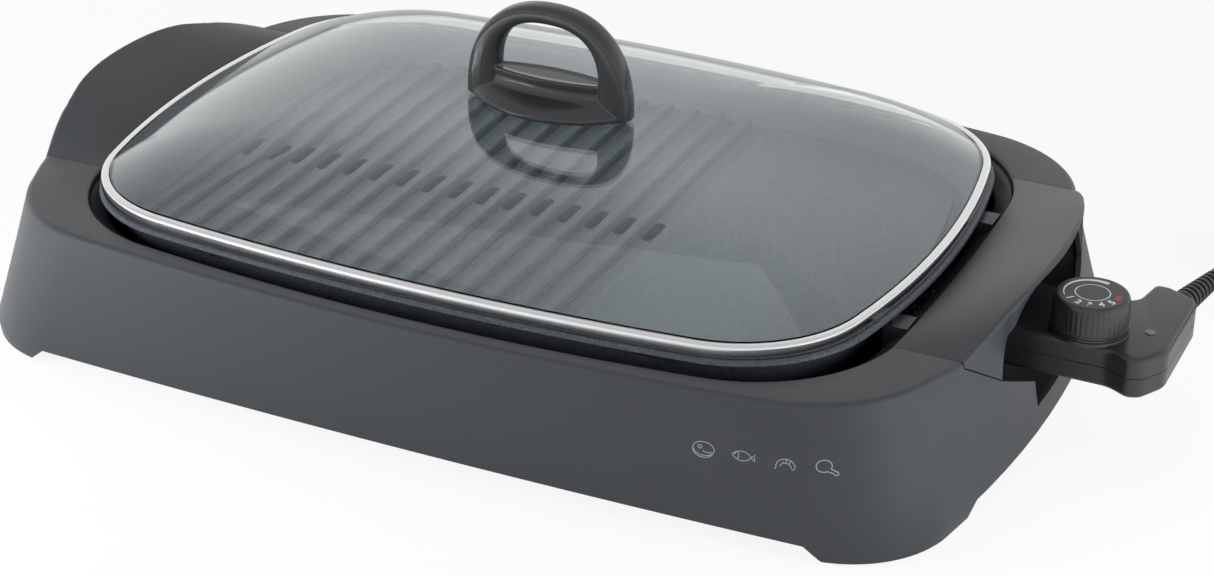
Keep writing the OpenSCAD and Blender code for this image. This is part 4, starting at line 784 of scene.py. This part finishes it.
# Glossy ABS: near black, soft reflections, faint flow waviness.
gloss_abs, tree, shader = material("glossy_abs", Base_Color="#292a2c", Roughness=0.28, IOR=1.53)
where = add(tree, "ShaderNodeTexCoord")
wave = add(tree, "ShaderNodeTexNoise", {"Scale": 60.0, "Detail": 3.0},
           Vector=where.outputs["Object"])
rough = add(tree, "ShaderNodeMapRange", {"To Min": 0.24, "To Max": 0.34}, Value=wave.outputs[0])
tree.links.new(rough.outputs[0], shader.inputs["Roughness"])

plan = rounded_plan(case_corners)
edge = 3.0
turns = [pi / 2 * i / 6 for i in range(7)]
upper = [(0.4, part_z), (0.3, part_z + 0.15), (0, part_z + 0.3)]
upper += [(edge * (1 - cos(a)), case_top - edge + edge * sin(a)) for a in turns]
lower = [(edge * (1 - cos(a)), case_z + edge - edge * sin(a)) for a in turns[::-1]]
lower += [(0, part_z - 0.3), (0.3, part_z - 0.15), (0.4, part_z)]
for name, levels in (("upper_case", upper), ("lower_case", lower)):
    rings = [[(x, y, z) for x, y in inset(plan, d)] for d, z in levels]
    half = shell(name + "_cover", *loft(rings), gloss_abs, sharp=40)
    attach(half, "probe")
    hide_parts(name)

# Dial
# Gripped cap, 38.5 mm, on the thermostat's spindle: knurled side over three fine rings, and a
# printed top with a ring, a ramp that widens with the heat, settings 1 to 5 and a red mark.
dial_at, dial_z, dial_h = (296.3, -12), 68.3, 19.7


def round_ring(r, z, n=264, deep=0.0, teeth=44):
    out = []
    for i in range(n):
        a = 2 * pi * i / n
        k = r - deep * max(0, cos(a * teeth)) ** 2
        out.append((k * cos(a), k * sin(a), z))
    return out


levels = [(19.7, 0.0, 0), (19.7, 1.3, 0), (19.5, 1.6, 0), (18.8, 1.7, 0), (18.8, 2.3, 0),
          (19.3, 2.4, 0), (19.3, 3.1, 0), (18.8, 3.2, 0), (18.8, 3.8, 0), (19.3, 3.9, 0),
          (19.3, 4.6, 0), (18.9, 4.8, 0), (18.9, 5.2, 0.05), (18.9, 5.8, 0.26), (18.9, 15.4, 0.26),
          (18.8, 16.2, 0.2), (18.7, 16.8, 0), (18.5, 17.8, 0), (18.1, 18.9, 0), (17.7, 19.45, 0),
          (17.2, 19.7, 0), (16.9, 19.7, 0), (16.75, 19.5, 0)]
rings = [round_ring(r, dial_z + z, deep=d) for r, z, d in levels]
dial = shell("heat_dial", *loft(rings), gloss_abs, sharp=45, shift=dial_at)
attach(dial, "dial")
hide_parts("dial")

# Printed face: black lacquer, satin, under white and red pad-printing ink.
lacquer, tree, shader = material("dial_lacquer", Base_Color="#26272a", Roughness=0.32)
where = add(tree, "ShaderNodeTexCoord")
brushed = add(tree, "ShaderNodeTexNoise", {"Scale": 700.0, "Detail": 2.0},
              Vector=where.outputs["Object"])
bump = add(tree, "ShaderNodeBump", {"Strength": 0.1, "Distance": 0.0001}, Height=brushed.outputs[0])
tree.links.new(bump.outputs[0], shader.inputs["Normal"])
ink, tree, shader = material("white_ink", Base_Color="#dcdcda", Roughness=0.5)
where = add(tree, "ShaderNodeTexCoord")
speck = add(tree, "ShaderNodeTexNoise", {"Scale": 1500.0}, Vector=where.outputs["Object"])
tone = add(tree, "ShaderNodeValToRGB", None, Fac=speck.outputs[0])
tone.color_ramp.elements[0].color = srgb("#c9c9c7")
tone.color_ramp.elements[1].color = srgb("#ececea")
tree.links.new(tone.outputs[0], shader.inputs["Base Color"])
red_ink, tree, shader = material("red_ink", Base_Color="#b01e24", Roughness=0.45)
where = add(tree, "ShaderNodeTexCoord")
speck = add(tree, "ShaderNodeTexNoise", {"Scale": 1500.0}, Vector=where.outputs["Object"])
tone = add(tree, "ShaderNodeValToRGB", None, Fac=speck.outputs[0])
tone.color_ramp.elements[0].color = srgb("#a11a20")
tone.color_ramp.elements[1].color = srgb("#c02a30")
tree.links.new(tone.outputs[0], shader.inputs["Base Color"])

face_z = dial_z + dial_h
disc_r, print_z, print_r = 16.85, face_z + 0.14, 12.9
rings = [round_ring(disc_r, face_z - 0.3, 96), round_ring(disc_r, face_z + 0.1, 96)]
disc = shell("dial_disc", *loft(rings), lacquer, shift=dial_at)
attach(disc, "dial")
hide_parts("dial_face")


def arc_band(r0, r1, a0, a1, n=48, swell=1.0):
    """Flat printed arc between two radii; swell below 1 starts it thinner."""
    points, faces = [], []
    for i in range(n + 1):
        t = i / n
        a = radians(a0 + (a1 - a0) * t)
        w = (r1 - r0) * (swell + (1 - swell) * t)
        for r in (r1 - w, r1):
            points.append((r * cos(a), r * sin(a), print_z))
    for i in range(n):
        faces.append((2 * i, 2 * i + 1, 2 * i + 3, 2 * i + 2))
    return points, faces


points, faces = arc_band(8.2, 8.75, 0, 360, 96)
p, f = arc_band(11.9, 14.3, 215, 70, 60, swell=0.15)
faces += [tuple(k + len(points) for k in face) for face in f]
points += p
print_ring = shell("dial_print", points, faces, ink, shift=dial_at)
p, f = arc_band(11.6, 14.4, -12, 8, 10)
print_red = shell("dial_red_mark", p, f, red_ink, shift=dial_at)
prints = [print_ring, print_red]
for i, digit in enumerate("12345"):
    a = radians(228 + i * 26)
    text = bpy.data.curves.new("digit_" + digit, "FONT")
    text.body, text.size, text.align_x, text.align_y = digit, 0.0056, "CENTER", "CENTER"
    text.offset = 0.0002
    made = linked("digit_curve", text)
    bpy.context.view_layer.update()
    data = bpy.data.meshes.new_from_object(
        made.evaluated_get(bpy.context.evaluated_depsgraph_get()))
    bpy.data.objects.remove(made)
    at = Vector(place([(dial_at[0] + print_r * cos(a), dial_at[1] + print_r * sin(a), print_z)])[0])
    data.transform(Matrix.Translation(at) @ Matrix.Rotation(a + pi / 2, 4, "Z"))
    data.materials.clear()
    data.materials.append(ink)
    prints.append(linked("dial_digit_" + digit, data))
for piece in prints:
    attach(piece, "dial")

# Strain relief
# Soft PVC sleeve moulded on the cord: a tapered core with flat ribs that let it bend.
def turned_piece(name, at, way, profile, finish, n=40, sharp=40):
    """Body turned about a level axis; profile is distance along it and radius."""
    across, up = Vector((way.y, -way.x, 0)), Vector((0, 0, 1))
    rings = [[at + way * y + r * (across * cos(2 * pi * i / n) + up * sin(2 * pi * i / n))
              for i in range(n)] for y, r in profile]
    points, faces = loft(rings)
    return shell(name, points, [f[::-1] for f in faces], finish, sharp=sharp)


profile = [(-9, 6), (-1, 6), (-1, 7.2), (1.6, 7.4), (1.9, 7.1), (2.1, 5.4)]
ribs_on = 9
for i in range(ribs_on):
    y = 4.4 + i * 4.2
    rib = 6.7 - i * 0.25
    core = rib - 1.35
    profile += [(y - 1.2, core), (y - 1.1, rib - 0.2), (y - 0.9, rib), (y + 0.9, rib - 0.1),
                (y + 1.1, rib - 0.3), (y + 1.2, core)]
profile += [(43.2, 4.3), (44.6, 4.2), (45, 3.9), (45, 3.4)]
profile = [(y + relief_in, r) for y, r in profile]
relief = turned_piece("cord_sleeve", relief_at, relief_way, profile, pvc)
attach(relief, "probe")
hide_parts("strain_relief")

# Pilot light
# Clear polycarbonate lens over a neon lamp, pressed into the case top.
polycarbonate, tree, shader = material("clear_polycarbonate", Base_Color="#5c6066", Roughness=0.12,
                                       IOR=1.58)
where = add(tree, "ShaderNodeTexCoord")
prism_lines = add(tree, "ShaderNodeTexWave", {"Scale": 900.0}, Vector=where.outputs["Object"])
bump = add(tree, "ShaderNodeBump", {"Strength": 0.3, "Distance": 0.0002},
           Height=prism_lines.outputs[0])
tree.links.new(bump.outputs[0], shader.inputs["Normal"])

# Carried-over parts
# Pieces whose solids are already right keep them and get the finish of the real part.
# Polypropylene, glass-filled: dull dark grey with a coarse mould grain, about 0.8 mm.
filled_pp, tree, shader = material("filled_polypropylene", Base_Color="#4c4e51", Roughness=0.55)
where = add(tree, "ShaderNodeTexCoord")
grain = add(tree, "ShaderNodeTexNoise", {"Scale": 1000.0, "Detail": 2.0},
            Vector=where.outputs["Object"])
bump = add(tree, "ShaderNodeBump", {"Strength": 0.25, "Distance": 0.0003}, Height=grain.outputs[0])
tree.links.new(bump.outputs[0], shader.inputs["Normal"])

# Silicone rubber: black, dull, faintly dusty.
silicone, tree, shader = material("silicone_rubber", Base_Color="#1a1a1b", Roughness=0.65)
where = add(tree, "ShaderNodeTexCoord")
dust = add(tree, "ShaderNodeTexNoise", {"Scale": 400.0, "Detail": 4.0},
           Vector=where.outputs["Object"])
tone = add(tree, "ShaderNodeValToRGB", None, Fac=dust.outputs[0])
tone.color_ramp.elements[0].color = srgb("#151516")
tone.color_ramp.elements[1].color = srgb("#242425")
tree.links.new(tone.outputs[0], shader.inputs["Base Color"])

# Cold-rolled steel sheet and zinc-plated screws: grey, fine rolling lines about 0.3 mm.
zinc, tree, shader = material("zinc_steel", Base_Color="#a9abad", Metallic=1.0, Roughness=0.34)
where = add(tree, "ShaderNodeTexCoord")
stretched = add(tree, "ShaderNodeMapping", {"Scale": (120.0, 3000.0, 3000.0)},
                Vector=where.outputs["Object"])
rolled = add(tree, "ShaderNodeTexNoise", {"Scale": 1.0, "Detail": 2.0},
             Vector=stretched.outputs[0])
rough = add(tree, "ShaderNodeMapRange", {"To Min": 0.26, "To Max": 0.44}, Value=rolled.outputs[0])
tree.links.new(rough.outputs[0], shader.inputs["Roughness"])

# Incoloy heater sheath: straw and grey-blue oxide blotches, a few millimetres across.
sheath, tree, shader = material("oxidised_sheath", Base_Color="#5b5a5c", Metallic=1.0,
                                Roughness=0.5)
where = add(tree, "ShaderNodeTexCoord")
heat = add(tree, "ShaderNodeTexNoise", {"Scale": 160.0, "Detail": 5.0},
           Vector=where.outputs["Object"])
tone = add(tree, "ShaderNodeValToRGB", None, Fac=heat.outputs[0])
tone.color_ramp.elements[0].color = srgb("#4a4643")
tone.color_ramp.elements[1].color = srgb("#6d7178")
tree.links.new(tone.outputs[0], shader.inputs["Base Color"])

# Steatite ceramic: off-white, matt, with fine dark specks.
steatite, tree, shader = material("steatite", Base_Color="#e6e0d2", Roughness=0.6)
where = add(tree, "ShaderNodeTexCoord")
specks = add(tree, "ShaderNodeTexNoise", {"Scale": 1300.0, "Detail": 3.0},
             Vector=where.outputs["Object"])
tone = add(tree, "ShaderNodeValToRGB", None, Fac=specks.outputs[0])
tone.color_ramp.elements[0].color = srgb("#d6cfbf")
tone.color_ramp.elements[1].color = srgb("#eee9de")
tree.links.new(tone.outputs[0], shader.inputs["Base Color"])

# Brass: drawn and tumbled, warm yellow with slightly browner hollows.
brass, tree, shader = material("tumbled_brass", Base_Color="#c9a85a", Metallic=1.0, Roughness=0.28)
where = add(tree, "ShaderNodeTexCoord")
cloud = add(tree, "ShaderNodeTexNoise", {"Scale": 300.0, "Detail": 4.0},
            Vector=where.outputs["Object"])
tone = add(tree, "ShaderNodeValToRGB", None, Fac=cloud.outputs[0])
tone.color_ramp.elements[0].color = srgb("#b8944a")
tone.color_ramp.elements[1].color = srgb("#d6b870")
tree.links.new(tone.outputs[0], shader.inputs["Base Color"])

# Coloured PVC and lamp glass for the small inner parts.
lead_blue, tree, shader = material("lead_insulation", Base_Color="#2b4d96", Roughness=0.4)
where = add(tree, "ShaderNodeTexCoord")
grain = add(tree, "ShaderNodeTexNoise", {"Scale": 900.0}, Vector=where.outputs["Object"])
bump = add(tree, "ShaderNodeBump", {"Strength": 0.1, "Distance": 0.0002}, Height=grain.outputs[0])
tree.links.new(bump.outputs[0], shader.inputs["Normal"])
neon, tree, shader = material("neon_glass", Base_Color="#d5703a", Roughness=0.15)
where = add(tree, "ShaderNodeTexCoord")
glowing = add(tree, "ShaderNodeTexNoise", {"Scale": 500.0}, Vector=where.outputs["Object"])
tone = add(tree, "ShaderNodeValToRGB", None, Fac=glowing.outputs[0])
tone.color_ramp.elements[0].color = srgb("#c45f2c")
tone.color_ramp.elements[1].color = srgb("#e58a55")
tree.links.new(tone.outputs[0], shader.inputs["Base Color"])
fuse_red, tree, shader = material("fuse_cover_red", Base_Color="#7c2a2a", Roughness=0.4)
where = add(tree, "ShaderNodeTexCoord")
grain = add(tree, "ShaderNodeTexNoise", {"Scale": 1200.0}, Vector=where.outputs["Object"])
bump = add(tree, "ShaderNodeBump", {"Strength": 0.15, "Distance": 0.0002}, Height=grain.outputs[0])
tree.links.new(bump.outputs[0], shader.inputs["Normal"])

finishes = {
    filled_pp: ("base_floor", "left_cup", "right_cup", "cord_clamp"),
    silicone: ("foot_pads", "plate_pads", "lid_gasket", "knob_seat", "knob_bush", "cord_tie"),
    zinc: ("floor_screws", "grip_screws", "heat_shield", "element_clips", "heater_screws",
           "terminal_pins", "terminal_guard", "sensor_channel", "knob_washer", "knob_screw",
           "case_screws", "sensor_rod", "thermostat_frame", "dial_spindle"),
    coat: ("drip_tray",),
    sheath: ("heating_element",),
    steatite: ("terminal_bushes", "plug_fuse"),
    brass: ("contact_sleeves", "contact_rivets", "contact_springs", "plug_pins"),
    lead_blue: ("lead_wires",),
    neon: ("pilot_lamp",),
    fuse_red: ("fuse_cover",),
    polycarbonate: ("pilot_lens",),
    phenolic: ("contact_block",),
    pvc: ("plug_body",),
}
for finish, names in finishes.items():
    for name in names:
        data = cad[name].data
        data.materials.clear()
        data.materials.append(finish)
